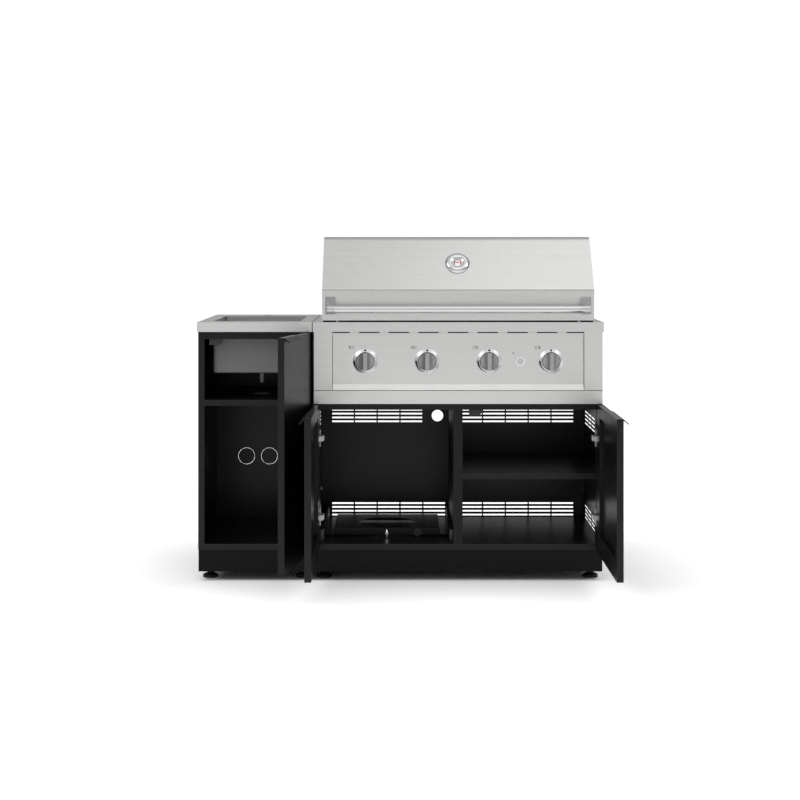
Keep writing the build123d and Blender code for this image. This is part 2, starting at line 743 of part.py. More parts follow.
def door_pull(name, plane, out, width, top_z, length):
    """Bent edge pull: a plate on the door's top edge with a lip that slopes out and down."""
    outward, up = plane.y_dir * out, Vector(0, 0, 1)
    start = plane.origin + plane.x_dir * (width - PIVOT_SIDE - PULL_END) + up * top_z
    rise = PULL_SHEET * PULL_OUT / PULL_LENGTH
    with BuildPart() as pull:
        with BuildSketch(Plane(origin=start, x_dir=outward, z_dir=outward.cross(up))):
            with BuildLine():
                inner, edge = PIVOT_FACE - DOOR_T, PIVOT_FACE
                Polyline(
                    (inner, 0),
                    (edge, 0),
                    (edge + PULL_OUT, -PULL_DROP),
                    (edge + PULL_TIP, rise - PULL_DROP),
                    (edge + PULL_SHEET * (PULL_LENGTH - PULL_OUT) / PULL_DROP, PULL_SHEET),
                    (inner, PULL_SHEET),
                    close=True,
                )
            make_face()
        extrude(amount=-out * length)
    save(pull, name)


def hinge_cups(name, plane, out, top_z):
    """Door halves of the hinges: a plate on the outer skin with an ear above and below the knuckle."""
    skin_y = out * (PIVOT_FACE - DOOR_SKIN)
    edge_x = DOOR_SKIN - PIVOT_SIDE
    with BuildPart(plane) as cups:
        for z in hinge_heights(top_z):
            low = HINGE_ARM_H / 2 + HINGE_EAR_GAP
            high = low + HINGE_EAR_T
            block((edge_x, skin_y, z - high), (HINGE_EAR_REACH, skin_y - out * HINGE_CUP_T, z + high))
            for z0, z1 in ((z + low, z + high), (z - high, z - low)):
                block((edge_x, skin_y, z0), (HINGE_EAR_REACH, -out * HINGE_EAR_REACH, z1))
                rod(HINGE_PIN_R + HINGE_RUNNING, (0, 0, z0), (0, 0, z1), Mode.SUBTRACT)
    save(cups, name)


def hinge_arm(out, z):
    """Add a cabinet half of a hinge: plate on the post's lip, block, cranked arm, knuckle and pin."""
    lip = FLANGE - PIVOT_SIDE
    plate_y = out * (PIVOT_Y - HINGE_PLATE_FRONT)
    block_x, half = lip + HINGE_PLATE_T, HINGE_ARM_H / 2
    far_y = plate_y - out * HINGE_PLATE_L
    plate_half = HINGE_PLATE_H / 2
    block((lip, plate_y, z - plate_half), (block_x, far_y, z + plate_half))
    block((block_x, out * PIVOT_Y, z - half), (block_x + HINGE_BLOCK_T, far_y, z + half))
    arm_x = lip + HINGE_ARM_GAP
    leg = out * HINGE_LEG_T / 2
    block((arm_x, leg, z - half), (arm_x + HINGE_ARM_T, out * PIVOT_Y, z + half))
    block((0, -leg, z - half), (arm_x + HINGE_ARM_T, leg, z + half))
    rod(HINGE_KNUCKLE_R, (0, 0, z - half), (0, 0, z + half))
    pin_half = half + HINGE_EAR_GAP + HINGE_EAR_T
    rod(HINGE_PIN_R, (0, 0, z - pin_half), (0, 0, z + pin_half))


def door(name, side_x, hinge_on_right, opened, width, top_z, pull_length):
    """One door with its pull and its halves of the hinges."""
    out = 1 if hinge_on_right else -1
    plane = pivot_plane(side_x, hinge_on_right, opened)
    door_leaf(name, plane, out, width, top_z)
    door_pull(f"{name}_pull", plane, out, width, top_z, pull_length)
    hinge_cups(f"{name}_hinge_cups", plane, out, top_z)


door("sink_door", SINK_X1, True, SINK_DOOR_OPEN, SINK_DOOR_W, SINK_DOOR_TOP_Z, SINK_PULL_L)
door("left_door", GRILL_X0, False, GRILL_DOOR_OPEN, GRILL_DOOR_W, GRILL_DOOR_TOP_Z, GRILL_PULL_L)
door("right_door", GRILL_X1, True, GRILL_DOOR_OPEN, GRILL_DOOR_W, GRILL_DOOR_TOP_Z, GRILL_PULL_L)

with BuildPart() as door_hinge_arms:
    for side_x, on_right, top_z in (
        (SINK_X1, True, SINK_DOOR_TOP_Z),
        (GRILL_X0, False, GRILL_DOOR_TOP_Z),
        (GRILL_X1, True, GRILL_DOOR_TOP_Z),
    ):
        with Locations(pivot_plane(side_x, on_right, 0)):
            for hinge_z in hinge_heights(top_z):
                hinge_arm(1 if on_right else -1, hinge_z)
save(door_hinge_arms, "door_hinge_arms")


# Gas cylinder tray on its slides, in the left bay

BAY_X0, BAY_X1 = GRILL_X0 + FLANGE, -DIVIDER_W / 2
BAY_X = (BAY_X0 + BAY_X1) / 2
RUNNER_T = SLIDE_W - SLIDE_WALL - SLIDE_CLEARANCE + RUNNER_PROUD
TRAY_X0, TRAY_X1 = BAY_X0 + SLIDE_W + RUNNER_PROUD, BAY_X1 - SLIDE_W - RUNNER_PROUD
TRAY_Z = FLOOR_Z + TRAY_LIFT
STEP_Z = TRAY_Z + TRAY_STEP_H
TRAY_BACK = TRAY_FRONT + TRAY_L
TANK_Y = TRAY_FRONT + TANK_HOLE_BACK
CLAMP_Z = TRAY_Z + TRAY_STEP_H / 2

with BuildPart() as tray_slides:
    for wall_x, inward in ((BAY_X0, 1), (BAY_X1, -1)):
        y0, y1 = SLIDE_FRONT, SLIDE_FRONT + SLIDE_L
        block((wall_x, y0, FLOOR_Z), (wall_x + inward * SLIDE_W, y1, FLOOR_Z + SLIDE_H))
        groove = wall_x + inward * SLIDE_WALL, y0, FLOOR_Z + SLIDE_WALL
        block(groove, (wall_x + inward * SLIDE_W, y1, FLOOR_Z + SLIDE_H - SLIDE_WALL), Mode.SUBTRACT)
save(tray_slides, "tray_slides")

with BuildPart() as tray_runners:
    inset = SLIDE_WALL + SLIDE_CLEARANCE
    for wall_x, inward in ((BAY_X0, 1), (BAY_X1, -1)):
        start = wall_x + inward * inset
        end = wall_x + inward * (SLIDE_W + RUNNER_PROUD)
        y0, y1 = RUNNER_FRONT, RUNNER_FRONT + RUNNER_L
        block((start, y0, FLOOR_Z + inset), (end, y1, FLOOR_Z + SLIDE_H - inset))
save(tray_runners, "tray_runners")

with BuildPart() as tank_tray:
    sheet = TRAY_SHEET
    block((TRAY_X0, TRAY_FRONT, TRAY_Z), (TRAY_X1, TRAY_BACK, TRAY_Z + sheet))
    for x in (TRAY_X0, TRAY_X1 - sheet):
        block((x, TRAY_FRONT, TRAY_Z), (x + sheet, TRAY_BACK, TRAY_Z + TRAY_WALL_H))
    step_x0, step_x1 = BAY_X - TRAY_STEP_W / 2, BAY_X + TRAY_STEP_W / 2
    block((step_x0, TRAY_FRONT, TRAY_Z), (step_x1, TRAY_BACK, STEP_Z))
    hollow_low = (step_x0 + sheet, TRAY_FRONT + sheet, TRAY_Z)
    block(hollow_low, (step_x1 - sheet, TRAY_BACK - sheet, STEP_Z - sheet), Mode.SUBTRACT)
    rod(TANK_HOLE_R, (BAY_X, TANK_Y, STEP_Z - sheet), (BAY_X, TANK_Y, STEP_Z), Mode.SUBTRACT)
    wall_y0, wall_y1 = TRAY_FRONT, TRAY_FRONT + sheet
    rod(CLAMP_R + RUNNING, (BAY_X, wall_y0, CLAMP_Z), (BAY_X, wall_y1, CLAMP_Z), Mode.SUBTRACT)
    lock_x = BAY_X + LOCK_X
    rod(LOCK_STEM_R + RUNNING, (lock_x, wall_y0, CLAMP_Z), (lock_x, wall_y1, CLAMP_Z), Mode.SUBTRACT)
save(tank_tray, "tank_tray")

with BuildPart() as tank_clamp_screw:
    tip_y = TRAY_FRONT - CLAMP_STICKOUT
    rod(CLAMP_R, (BAY_X, tip_y, CLAMP_Z), (BAY_X, tip_y + CLAMP_L, CLAMP_Z))
    rod(CLAMP_HEAD_R, (BAY_X, tip_y, CLAMP_Z), (BAY_X, tip_y + CLAMP_HEAD_T, CLAMP_Z))
    wing, wing_y = CLAMP_WING_T / 2, tip_y + CLAMP_HEAD_T
    block((BAY_X - wing, tip_y, CLAMP_Z - CLAMP_WING), (BAY_X + wing, wing_y, CLAMP_Z + CLAMP_WING))
save(tank_clamp_screw, "tank_clamp_screw")

with BuildPart() as tray_lock_knob:
    lock_x = BAY_X + LOCK_X
    gap = SLIDE_CLEARANCE
    front_y = TRAY_FRONT - gap
    back_y = TRAY_FRONT + TRAY_SHEET + gap
    rod(LOCK_R, (lock_x, front_y - LOCK_T, CLAMP_Z), (lock_x, front_y, CLAMP_Z))
    rod(LOCK_STEM_R, (lock_x, front_y, CLAMP_Z), (lock_x, back_y, CLAMP_Z))
    half, tongue_y = LOCK_STEM_R, back_y + LOCK_TONGUE_T
    block((lock_x - half, back_y, CLAMP_Z - half), (lock_x + LOCK_TONGUE, tongue_y, CLAMP_Z + half))
save(tray_lock_knob, "tray_lock_knob")


# Grill head: rim, casing, control panel, knobs and igniter

FIREBOX_X = FIREBOX_W / 2
FIREBOX_BACK = FIREBOX_FRONT + FIREBOX_L
DRIP_X = DRIP_W / 2
KNOB_XS = [(i - (KNOB_COUNT - 1) / 2) * KNOB_PITCH for i in range(KNOB_COUNT)]

with BuildPart() as grill_rim:
    folded_top(GRILL_X0, GRILL_X1)
    low = (-FIREBOX_X - RIM_LIP, FIREBOX_FRONT - RIM_LIP, WORKTOP_Z - SHEET)
    block(low, (FIREBOX_X + RIM_LIP, FIREBOX_BACK + RIM_LIP, WORKTOP_Z), Mode.SUBTRACT)
save(grill_rim, "grill_rim")

with BuildPart() as grill_casing:
    half, top_z = HEAD_W / 2, WORKTOP_Z - SHEET
    back = CARCASS_D - SHEET
    for x, inward in ((-half, 1), (half, -1)):
        block((x, POST_BACK, HEAD_BASE_Z), (x + inward * SHEET, back, top_z))
        block((x, 0, HEAD_BASE_Z), (x + inward * HEAD_FLANGE, back, HEAD_BASE_Z + SHEET))
    block((-half, back - SHEET, HEAD_BASE_Z), (half, back, top_z))
    slot = DRIP_X + DRIP_SLOT_GAP
    slot_z0, slot_z1 = DRIP_Z - DRIP_SLOT_GAP, DRIP_Z + DRIP_H + DRIP_SLOT_GAP
    block((-slot, back - SHEET, slot_z0), (slot, back, slot_z1), Mode.SUBTRACT)
save(grill_casing, "grill_casing")

IGNITER_X = KNOB_PITCH
PANEL_X = HEAD_W / 2 - POST_W
PANEL_TOP_Z = FOLD_Z - PANEL_TOP_GAP

with BuildPart() as control_panel:
    half = HEAD_W / 2
    front, panel_back = -APRON_FRONT, PANEL_FACE + SHEET
    for x, inward in ((-half, 1), (half, -1)):
        edge, lap = x + inward * POST_W, x + inward * (POST_W + POST_LAP)
        fold = x + inward * SHEET
        block((x, front, HEAD_BASE_Z), (edge, POST_BACK, FOLD_Z))
        block((edge - inward * SHEET, front, HEAD_BASE_Z), (edge, panel_back + SHEET, FOLD_Z))
        block((fold, front, HEAD_BASE_Z), (lap, front + APRON_RETURN, HEAD_BASE_Z + SHEET))
        block((edge, panel_back, PANEL_TOP_Z - POST_LAP), (lap, panel_back + SHEET, PANEL_TOP_Z))
    sill = SHEET * (PANEL_SILL**2 + PANEL_RECESS**2) ** 0.5 / PANEL_SILL
    inner_sill = PANEL_SILL * (PANEL_RECESS + SHEET - sill) / PANEL_RECESS
    with BuildSketch(Plane.YZ):
        with BuildLine():
            Polyline(
                (PANEL_FACE, PANEL_TOP_Z),
                (PANEL_FACE, HEAD_BASE_Z + PANEL_SILL),
                (front, HEAD_BASE_Z),
                (front + sill, HEAD_BASE_Z),
                (panel_back, HEAD_BASE_Z + inner_sill),
                (panel_back, PANEL_TOP_Z),
                close=True,
            )
        make_face()
    extrude(amount=PANEL_X - PANEL_SIDE_GAP, both=True)
    with BuildSketch(Plane.XZ.offset(-PANEL_FACE - SHEET)):
        with Locations((0, (PANEL_TOP_Z + FOLD_Z) / 2)):
            with GridLocations(PANEL_TAB_PITCH, 0, PANEL_TABS, 1):
                Rectangle(PANEL_TAB_W, PANEL_TOP_GAP)
    extrude(amount=SHEET)
    for x in KNOB_XS:
        rod(STEM_HOLE_R, (x, PANEL_FACE, KNOB_Z), (x, PANEL_FACE + SHEET, KNOB_Z), Mode.SUBTRACT)
    igniter_hole = IGNITER_BARREL_R + IGNITER_HOLE_GAP
    rod(igniter_hole, (IGNITER_X, PANEL_FACE, KNOB_Z), (IGNITER_X, panel_back, KNOB_Z), Mode.SUBTRACT)
save(control_panel, "control_panel")


def on_panel(x):
    """Frame on the control panel's face, with z pointing out of it."""
    return Plane(origin=(x, PANEL_FACE, KNOB_Z), x_dir=(0, 0, 1), z_dir=(0, -1, 0))


FROM_BASE = (Align.CENTER, Align.CENTER, Align.MIN)

with BuildPart() as control_bezels:
    for x in KNOB_XS:
        with Locations(on_panel(x)):
            Cone(KNOB_BEZEL_R, KNOB_BEZEL_TOP_R, KNOB_BEZEL_H, align=FROM_BASE)
            Cylinder(STEM_HOLE_R, KNOB_BEZEL_BASE, align=FROM_BASE, mode=Mode.SUBTRACT)
        with Locations(on_panel(x).offset(KNOB_BEZEL_BASE)):
            Cylinder(KNOB_R + KNOB_BEZEL_GAP, KNOB_BEZEL_H, align=FROM_BASE, mode=Mode.SUBTRACT)
    with Locations(on_panel(IGNITER_X)):
        Cylinder(IGNITER_BEZEL_R, IGNITER_BEZEL_H, align=FROM_BASE)
    with Locations(on_panel(IGNITER_X).offset(-IGNITER_BARREL_L)):
        Cylinder(IGNITER_BARREL_R, IGNITER_BARREL_L, align=FROM_BASE)
    with Locations(on_panel(IGNITER_X).offset(IGNITER_END - IGNITER_BARREL_L)):
        bore_l = IGNITER_BARREL_L - IGNITER_END + IGNITER_BEZEL_H
        Cylinder(IGNITER_R + RUNNING, bore_l, align=FROM_BASE, mode=Mode.SUBTRACT)
save(control_bezels, "control_bezels")

with BuildPart() as igniter_button:
    with Locations(on_panel(IGNITER_X).offset(IGNITER_PROUD - IGNITER_L)):
        Cylinder(IGNITER_R, IGNITER_L, align=FROM_BASE)
    with Locations(on_panel(IGNITER_X).offset(IGNITER_PROUD - IGNITER_DISH)):
        Cylinder(IGNITER_DISH_R, IGNITER_DISH, align=FROM_BASE, mode=Mode.SUBTRACT)
save(igniter_button, "igniter_button")

KNOB_BACK = KNOB_BEZEL_BASE + KNOB_LIFT

with BuildPart() as knob_shape:
    with Locations(on_panel(0).offset(KNOB_BACK)):
        Cylinder(KNOB_R, KNOB_L, align=FROM_BASE)
    fillet(knob_shape.faces().sort_by(Axis.Y)[0].edges(), KNOB_ROUND)
    scoop_x = KNOB_BLADE_W / 2 + KNOB_SCOOP_R
    scoop_y = PANEL_FACE - KNOB_BACK - KNOB_SKIRT - KNOB_SCOOP_R
    with Locations((-scoop_x, scoop_y, KNOB_Z), (scoop_x, scoop_y, KNOB_Z)):
        Cylinder(KNOB_SCOOP_R, 4 * KNOB_R, mode=Mode.SUBTRACT)
    with Locations(on_panel(0).offset(KNOB_BACK - STEM_L)):
        Cylinder(STEM_R, STEM_L, align=FROM_BASE)

for number, knob_x in enumerate(KNOB_XS, start=1):
    with BuildPart() as knob:
        with Locations((knob_x, 0, 0)):
            add(knob_shape.part)
    save(knob, f"knob_{number}")


# Gas train: manifold, valves and burners

MANIFOLD_TOP_Z = KNOB_Z - VALVE_H / 2

with BuildPart() as gas_manifold:
    half, y0, y1 = HEAD_W / 2 - SHEET, MANIFOLD_Y - MANIFOLD / 2, MANIFOLD_Y + MANIFOLD / 2
    z0, wall = MANIFOLD_TOP_Z - MANIFOLD, MANIFOLD_WALL
    block((-half, y0, z0), (half, y1, MANIFOLD_TOP_Z))
    bore_high = (half - wall, y1 - wall, MANIFOLD_TOP_Z - wall)
    block((wall - half, y0 + wall, z0 + wall), bore_high, Mode.SUBTRACT)
    for x in KNOB_XS:
        rod(NOZZLE_R, (x, MANIFOLD_Y, MANIFOLD_TOP_Z - wall), (x, MANIFOLD_Y, MANIFOLD_TOP_Z), Mode.SUBTRACT)
save(gas_manifold, "gas_manifold")

with BuildPart() as gas_valves:
    for x in KNOB_XS:
        y0, y1 = VALVE_FRONT, VALVE_FRONT + VALVE_L
        half, z0 = VALVE_W / 2, MANIFOLD_TOP_Z
        block((x - half, y0, z0), (x + half, y1, z0 + VALVE_H))
        rod(NOZZLE_R, (x, y1, KNOB_Z), (x, y1 + NOZZLE_L, KNOB_Z))
        stem_end = PANEL_FACE - KNOB_BACK + STEM_L + RUNNING
        rod(STEM_R + RUNNING, (x, y0, KNOB_Z), (x, stem_end, KNOB_Z), Mode.SUBTRACT)
save(gas_valves, "gas_valves")

BURNER_BACK = FIREBOX_BACK - SHEET - BURNER_BACK_GAP

with BuildPart() as burners:
    for x in KNOB_XS:
        rod(BURNER_R, (x, BURNER_FRONT, KNOB_Z), (x, BURNER_BACK, KNOB_Z))
        bore = BURNER_R - BURNER_WALL
        rod(bore, (x, BURNER_FRONT, KNOB_Z), (x, BURNER_BACK - BURNER_WALL, KNOB_Z), Mode.SUBTRACT)
        rod(BURNER_PEG_R, (x, BURNER_BACK, KNOB_Z), (x, BURNER_BACK + BURNER_PEG_L, KNOB_Z))
        ports = PORT_PITCH * (PORT_COUNT - 1) / 2
        for side in (-1, 1):
            middle = (x, (FIREBOX_FRONT + BURNER_BACK) / 2, KNOB_Z)
            with Locations(Plane(origin=middle, x_dir=(0, 1, 0), z_dir=(side, 0, 1))):
                with GridLocations(PORT_PITCH, 0, PORT_COUNT, 1):
                    Cylinder(PORT_R, BURNER_R + BURNER_WALL, align=FROM_BASE, mode=Mode.SUBTRACT)
save(burners, "burners")

with BuildPart() as firebox:
    x1, y0, y1, z0, z1 = FIREBOX_X, FIREBOX_FRONT, FIREBOX_BACK, FIREBOX_FLOOR_Z, WORKTOP_Z - SHEET
    block((-x1, y0, z0), (x1, y1, z1))
    block((SHEET - x1, y0 + SHEET, z0 + SHEET), (x1 - SHEET, y1 - SHEET, z1), Mode.SUBTRACT)
    grease_y = (y0 + y1) / 2
    grease_low = (-GREASE_W / 2, grease_y - GREASE_L / 2, z0)
    block(grease_low, (GREASE_W / 2, grease_y + GREASE_L / 2, z0 + SHEET), Mode.SUBTRACT)
    with BuildSketch(Plane.XY.offset(z1)):
        with Locations((0, grease_y)):
            Rectangle(FIREBOX_W + 2 * FIREBOX_FLANGE, FIREBOX_L + 2 * FIREBOX_FLANGE)
            Rectangle(FIREBOX_W - 2 * SHEET, FIREBOX_L - 2 * SHEET, mode=Mode.SUBTRACT)
    extrude(amount=-SHEET)
    for ledge_z in (TAMER_LEDGE_Z, GRATE_LEDGE_Z):
        block((SHEET - x1, y0, ledge_z - SHEET), (x1 - SHEET, y0 + FIREBOX_LEDGE, ledge_z))
        block((SHEET - x1, y1 - FIREBOX_LEDGE, ledge_z - SHEET), (x1 - SHEET, y1, ledge_z))
    for x in KNOB_XS:
        rod(BURNER_R + BURNER_HOLE_GAP, (x, y0, KNOB_Z), (x, y0 + SHEET, KNOB_Z), Mode.SUBTRACT)
        rod(BURNER_PEG_R + BURNER_HOLE_GAP, (x, y1 - SHEET, KNOB_Z), (x, y1, KNOB_Z), Mode.SUBTRACT)
    for side in (-1, 1):
        rail_x = side * (DRIP_X + DRIP_RAIL_GAP)
        rail_z = DRIP_Z - DRIP_CLEARANCE
        rail = ((rail_x, DRIP_FRONT, rail_z - SHEET), (rail_x + side * SHEET, y1, z0))
        block(*rail)
        block((rail_x, DRIP_FRONT, rail_z - SHEET), (rail_x - side * DRIP_RAIL_LEDGE, y1, rail_z))
save(firebox, "firebox")

with BuildPart() as drip_tray:
    y0, y1, wall = DRIP_FRONT, CARCASS_D - DRIP_BACK_GAP, DRIP_WALL
    block((-DRIP_X, y0, DRIP_Z), (DRIP_X, y1, DRIP_Z + DRIP_H))
    pan_high = (DRIP_X - wall, y1 - wall, DRIP_Z + DRIP_H)
    block((wall - DRIP_X, y0 + wall, DRIP_Z + wall), pan_high, Mode.SUBTRACT)
    pull_z = DRIP_Z + DRIP_H - DRIP_PULL_T
    block((-DRIP_PULL_W / 2, y1, pull_z), (DRIP_PULL_W / 2, y1 + DRIP_PULL_L, pull_z + DRIP_PULL_T))
save(drip_tray, "drip_tray")

with BuildPart() as flame_tamers:
    for x in KNOB_XS:
        y0 = FIREBOX_FRONT + SHEET + TAMER_GAP
        length = FIREBOX_L - 2 * SHEET - 2 * TAMER_GAP
        half, sheet = TAMER_W / 2, TAMER_SHEET
        with BuildSketch(Plane(origin=(x, y0, TAMER_LEDGE_Z), x_dir=(-1, 0, 0), z_dir=(0, 1, 0))):
            with BuildLine():
                Polyline(
                    (-half, 0), (0, TAMER_H), (half, 0), (half - 2 * sheet, 0), (0, TAMER_H - 2 * sheet),
                    (2 * sheet - half, 0), close=True
                )
            make_face()
        extrude(amount=length)
save(flame_tamers, "flame_tamers")

with BuildPart() as cooking_grates:
    inner_w = FIREBOX_W - 2 * SHEET
    section = (inner_w - GRATE_GAP * (GRATE_COUNT + 1)) / GRATE_COUNT
    bar_pitch = (section - GRATE_BAR_W) / (GRATE_BARS - 1)
    y_middle = (FIREBOX_FRONT + FIREBOX_BACK) / 2
    bar_l = FIREBOX_L - 2 * SHEET - 2 * GRATE_GAP
    cross_pitch = (FIREBOX_L - 2 * FIREBOX_LEDGE - 2 * GRATE_BAR_W) / (GRATE_CROSSES - 1)
    with BuildSketch(Plane.XY.offset(GRATE_LEDGE_Z)):
        with Locations((0, y_middle)):
            with GridLocations(section + GRATE_GAP, 0, GRATE_COUNT, 1):
                with GridLocations(bar_pitch, 0, GRATE_BARS, 1):
                    Rectangle(GRATE_BAR_W, bar_l)
    extrude(amount=GRATE_BAR_H)
    with BuildSketch(Plane.XY.offset(GRATE_LEDGE_Z)):
        with Locations((0, y_middle)):
            with GridLocations(section + GRATE_GAP, cross_pitch, GRATE_COUNT, GRATE_CROSSES):
                Rectangle(section, GRATE_BAR_W)
    extrude(amount=-GRATE_CROSS_H)
save(cooking_grates, "cooking_grates")

with BuildPart() as warming_rack:
    for x in (-RACK_X, RACK_X):
        for y in (RACK_FRONT, RACK_FRONT + RACK_D):
            rod(RACK_LEG_R, (x, y, WORKTOP_Z), (x, y, RACK_Z + RACK_LEG_R))
        rod(RACK_LEG_R, (x, RACK_FRONT, RACK_Z), (x, RACK_FRONT + RACK_D, RACK_Z))
    for i in range(RACK_RODS):
        y = RACK_FRONT + RACK_D * (i + 0.5) / RACK_RODS
        rod(RACK_ROD_R, (-RACK_X, y, RACK_Z), (RACK_X, y, RACK_Z))
save(warming_rack, "warming_rack")


# Hood: bent skin, end plates, handle, hinge pins and bumpers

HOOD_X = HOOD_W / 2
SLOPE = radians(HOOD_SLOPE)
BROW_Y = -HOOD_FRONT + (HOOD_TOP_Z - HOOD_CREASE_Z) / tan(SLOPE)


def hood_outline():
    """Draw the hood's outer profile, down to the worktop, in the current sketch."""
    points = [
        (-HOOD_FRONT, WORKTOP_Z),
        (-HOOD_FRONT, HOOD_CREASE_Z),
        (BROW_Y, HOOD_TOP_Z),
        (HOOD_BACK, HOOD_TOP_Z),
        (HOOD_BACK, WORKTOP_Z),
    ]
    with BuildLine() as outline:
        FilletPolyline(*points, radius=[HOOD_CREASE_R, HOOD_BROW_R, HOOD_CROWN_R])
        Line(points[-1], points[0])
    make_face(outline.edges())


def below(y0, y1, height):
    """Cut what lies between the worktop and a height out of the current sketch."""
    with Locations(((y0 + y1) / 2, WORKTOP_Z + height / 2)):
        Rectangle(y1 - y0, height, mode=Mode.SUBTRACT)


HEEL_Y = HOOD_PIVOT_Y - HOOD_HEEL / 2
GAUGE_Y = -HOOD_FRONT + GAUGE_UP_SLOPE * cos(SLOPE)
GAUGE_Z = HOOD_CREASE_Z + GAUGE_UP_SLOPE * sin(SLOPE)
GAUGE = Plane(origin=(0, GAUGE_Y, GAUGE_Z), x_dir=(1, 0, 0), z_dir=(0, -sin(SLOPE), cos(SLOPE)))

with BuildPart() as hood_skin:
    with BuildSketch(Plane.YZ):
        hood_outline()
        offset(amount=-SHEET, kind=Kind.INTERSECTION, mode=Mode.SUBTRACT)
        below(-HOOD_FRONT, HOOD_BACK, HOOD_BASE_GAP)
        below(HEEL_Y, HOOD_BACK, HOOD_PIVOT_Z - WORKTOP_Z)
    extrude(amount=HOOD_X, both=True)
    with Locations(GAUGE):
        Cylinder(GAUGE_STEM_R + GAUGE_HOLE_GAP, 4 * SHEET, mode=Mode.SUBTRACT)
save(hood_skin, "hood_skin")

with BuildPart() as hood_ends:
    for end_x in (HOOD_X - SHEET, -HOOD_X):
        with BuildSketch(Plane.YZ.offset(end_x)):
            hood_outline()
            offset(amount=-SHEET, kind=Kind.INTERSECTION, mode=Mode.REPLACE)
            below(-HOOD_FRONT, HOOD_BACK, HOOD_BASE_GAP)
            with BuildLine():
                Polyline(
                    (HEEL_Y, WORKTOP_Z), (HOOD_BACK, WORKTOP_Z), (HOOD_BACK, HOOD_PIVOT_Z),
                    (HOOD_BACK - SHEET, HOOD_PIVOT_Z), (HEEL_Y, HOOD_BASE_Z), close=True
                )
            make_face(mode=Mode.SUBTRACT)
            with Locations((HOOD_PIVOT_Y, HOOD_PIVOT_Z)):
                Circle(HOOD_PIN_R + RUNNING, mode=Mode.SUBTRACT)
        extrude(amount=SHEET)
save(hood_ends, "hood_ends")

with BuildPart() as hood_pivots:
    for side in (-1, 1):
        plate_out = side * (HOOD_X - SHEET - HOOD_BRACKET_GAP)
        plate_in = plate_out - side * HOOD_BRACKET_T
        y0, y1 = HOOD_PIVOT_Y - HOOD_BRACKET_L, HOOD_PIVOT_Y
        block((plate_in, y0, WORKTOP_Z), (plate_out, y1, HOOD_PIVOT_Z))
        rod(HOOD_BRACKET_R, (plate_in, y1, HOOD_PIVOT_Z), (plate_out, y1, HOOD_PIVOT_Z))
        head = side * (HOOD_X + HOOD_PIN_HEAD_GAP)
        rod(HOOD_PIN_R, (plate_out, y1, HOOD_PIVOT_Z), (head, y1, HOOD_PIVOT_Z))
        rod(HOOD_PIN_HEAD_R, (head, y1, HOOD_PIVOT_Z), (head + side * HOOD_PIN_HEAD_T, y1, HOOD_PIVOT_Z))
save(hood_pivots, "hood_pivots")

with BuildPart() as hood_bumpers:
    for x in (-BUMPER_X, BUMPER_X):
        y = BUMPER_IN - HOOD_FRONT
        rod(BUMPER_R, (x, y, WORKTOP_Z), (x, y, HOOD_BASE_Z - BUMPER_CLEARANCE))
save(hood_bumpers, "hood_bumpers")

with BuildPart() as hood_handle_bar:
    rod(BAR_R, (-BAR_HALF_L, BAR_Y, BAR_Z), (BAR_HALF_L, BAR_Y, BAR_Z))
save(hood_handle_bar, "hood_handle_bar")

with BuildPart() as hood_handle_brackets:
    for side in (-1, 1):
        inner, tip, root = side * GRIP_INNER, side * GRIP_END, side * GRIP_ROOT_END
        root_z = (GRIP_ROOT_TOP + GRIP_ROOT_BOTTOM) / 2
        with BuildSketch(Plane.XZ.offset(HOOD_FRONT)):
            with Locations(((inner + root) / 2, root_z)):
                Rectangle(GRIP_ROOT_END - GRIP_INNER, GRIP_ROOT_TOP - GRIP_ROOT_BOTTOM)
        with BuildSketch(Plane.XZ.offset(-BAR_Y)):
            with Locations(((inner + side * GRIP_TIP_END) / 2, BAR_Z)):
                Rectangle(GRIP_TIP_END - GRIP_INNER, GRIP_TIP_H)
        loft()
        rod(GRIP_CAP_R, (inner, BAR_Y, BAR_Z), (tip, BAR_Y, BAR_Z))
        rod(BAR_R, (inner, BAR_Y, BAR_Z), (side * BAR_HALF_L, BAR_Y, BAR_Z), Mode.SUBTRACT)
save(hood_handle_brackets, "hood_handle_brackets")


# Thermometer on the hood's slope

DIAL_Z = GAUGE_H - GAUGE_WELL
NEEDLE_Z = DIAL_Z + DIAL_T + NEEDLE_LIFT

with BuildPart() as thermometer_case:
    with BuildSketch(Plane(origin=GAUGE.origin, x_dir=GAUGE.x_dir, z_dir=-GAUGE.y_dir)):
        with BuildLine():
            edge, eye = (GAUGE_R, GAUGE_EDGE), (GAUGE_EYE_R, GAUGE_H)
            ThreePointArc(edge, ((GAUGE_R + GAUGE_EYE_R) / 2, GAUGE_DOME), eye)
            Polyline(
                eye, (GAUGE_EYE_R, DIAL_Z), (0, DIAL_Z), (0, -GAUGE_STEM_L), (GAUGE_STEM_R, -GAUGE_STEM_L),
                (GAUGE_STEM_R, 0), (GAUGE_R, 0), edge
            )
        make_face()
    revolve(axis=Axis(GAUGE.origin, GAUGE.z_dir))
save(thermometer_case, "thermometer_case")

with BuildPart() as thermometer_dial:
    with Locations(GAUGE.offset(DIAL_Z)):
        Cylinder(DIAL_R, DIAL_T, align=FROM_BASE)
        Cylinder(NEEDLE_PIN_R + RUNNING, DIAL_T, align=FROM_BASE, mode=Mode.SUBTRACT)
save(thermometer_dial, "thermometer_dial")

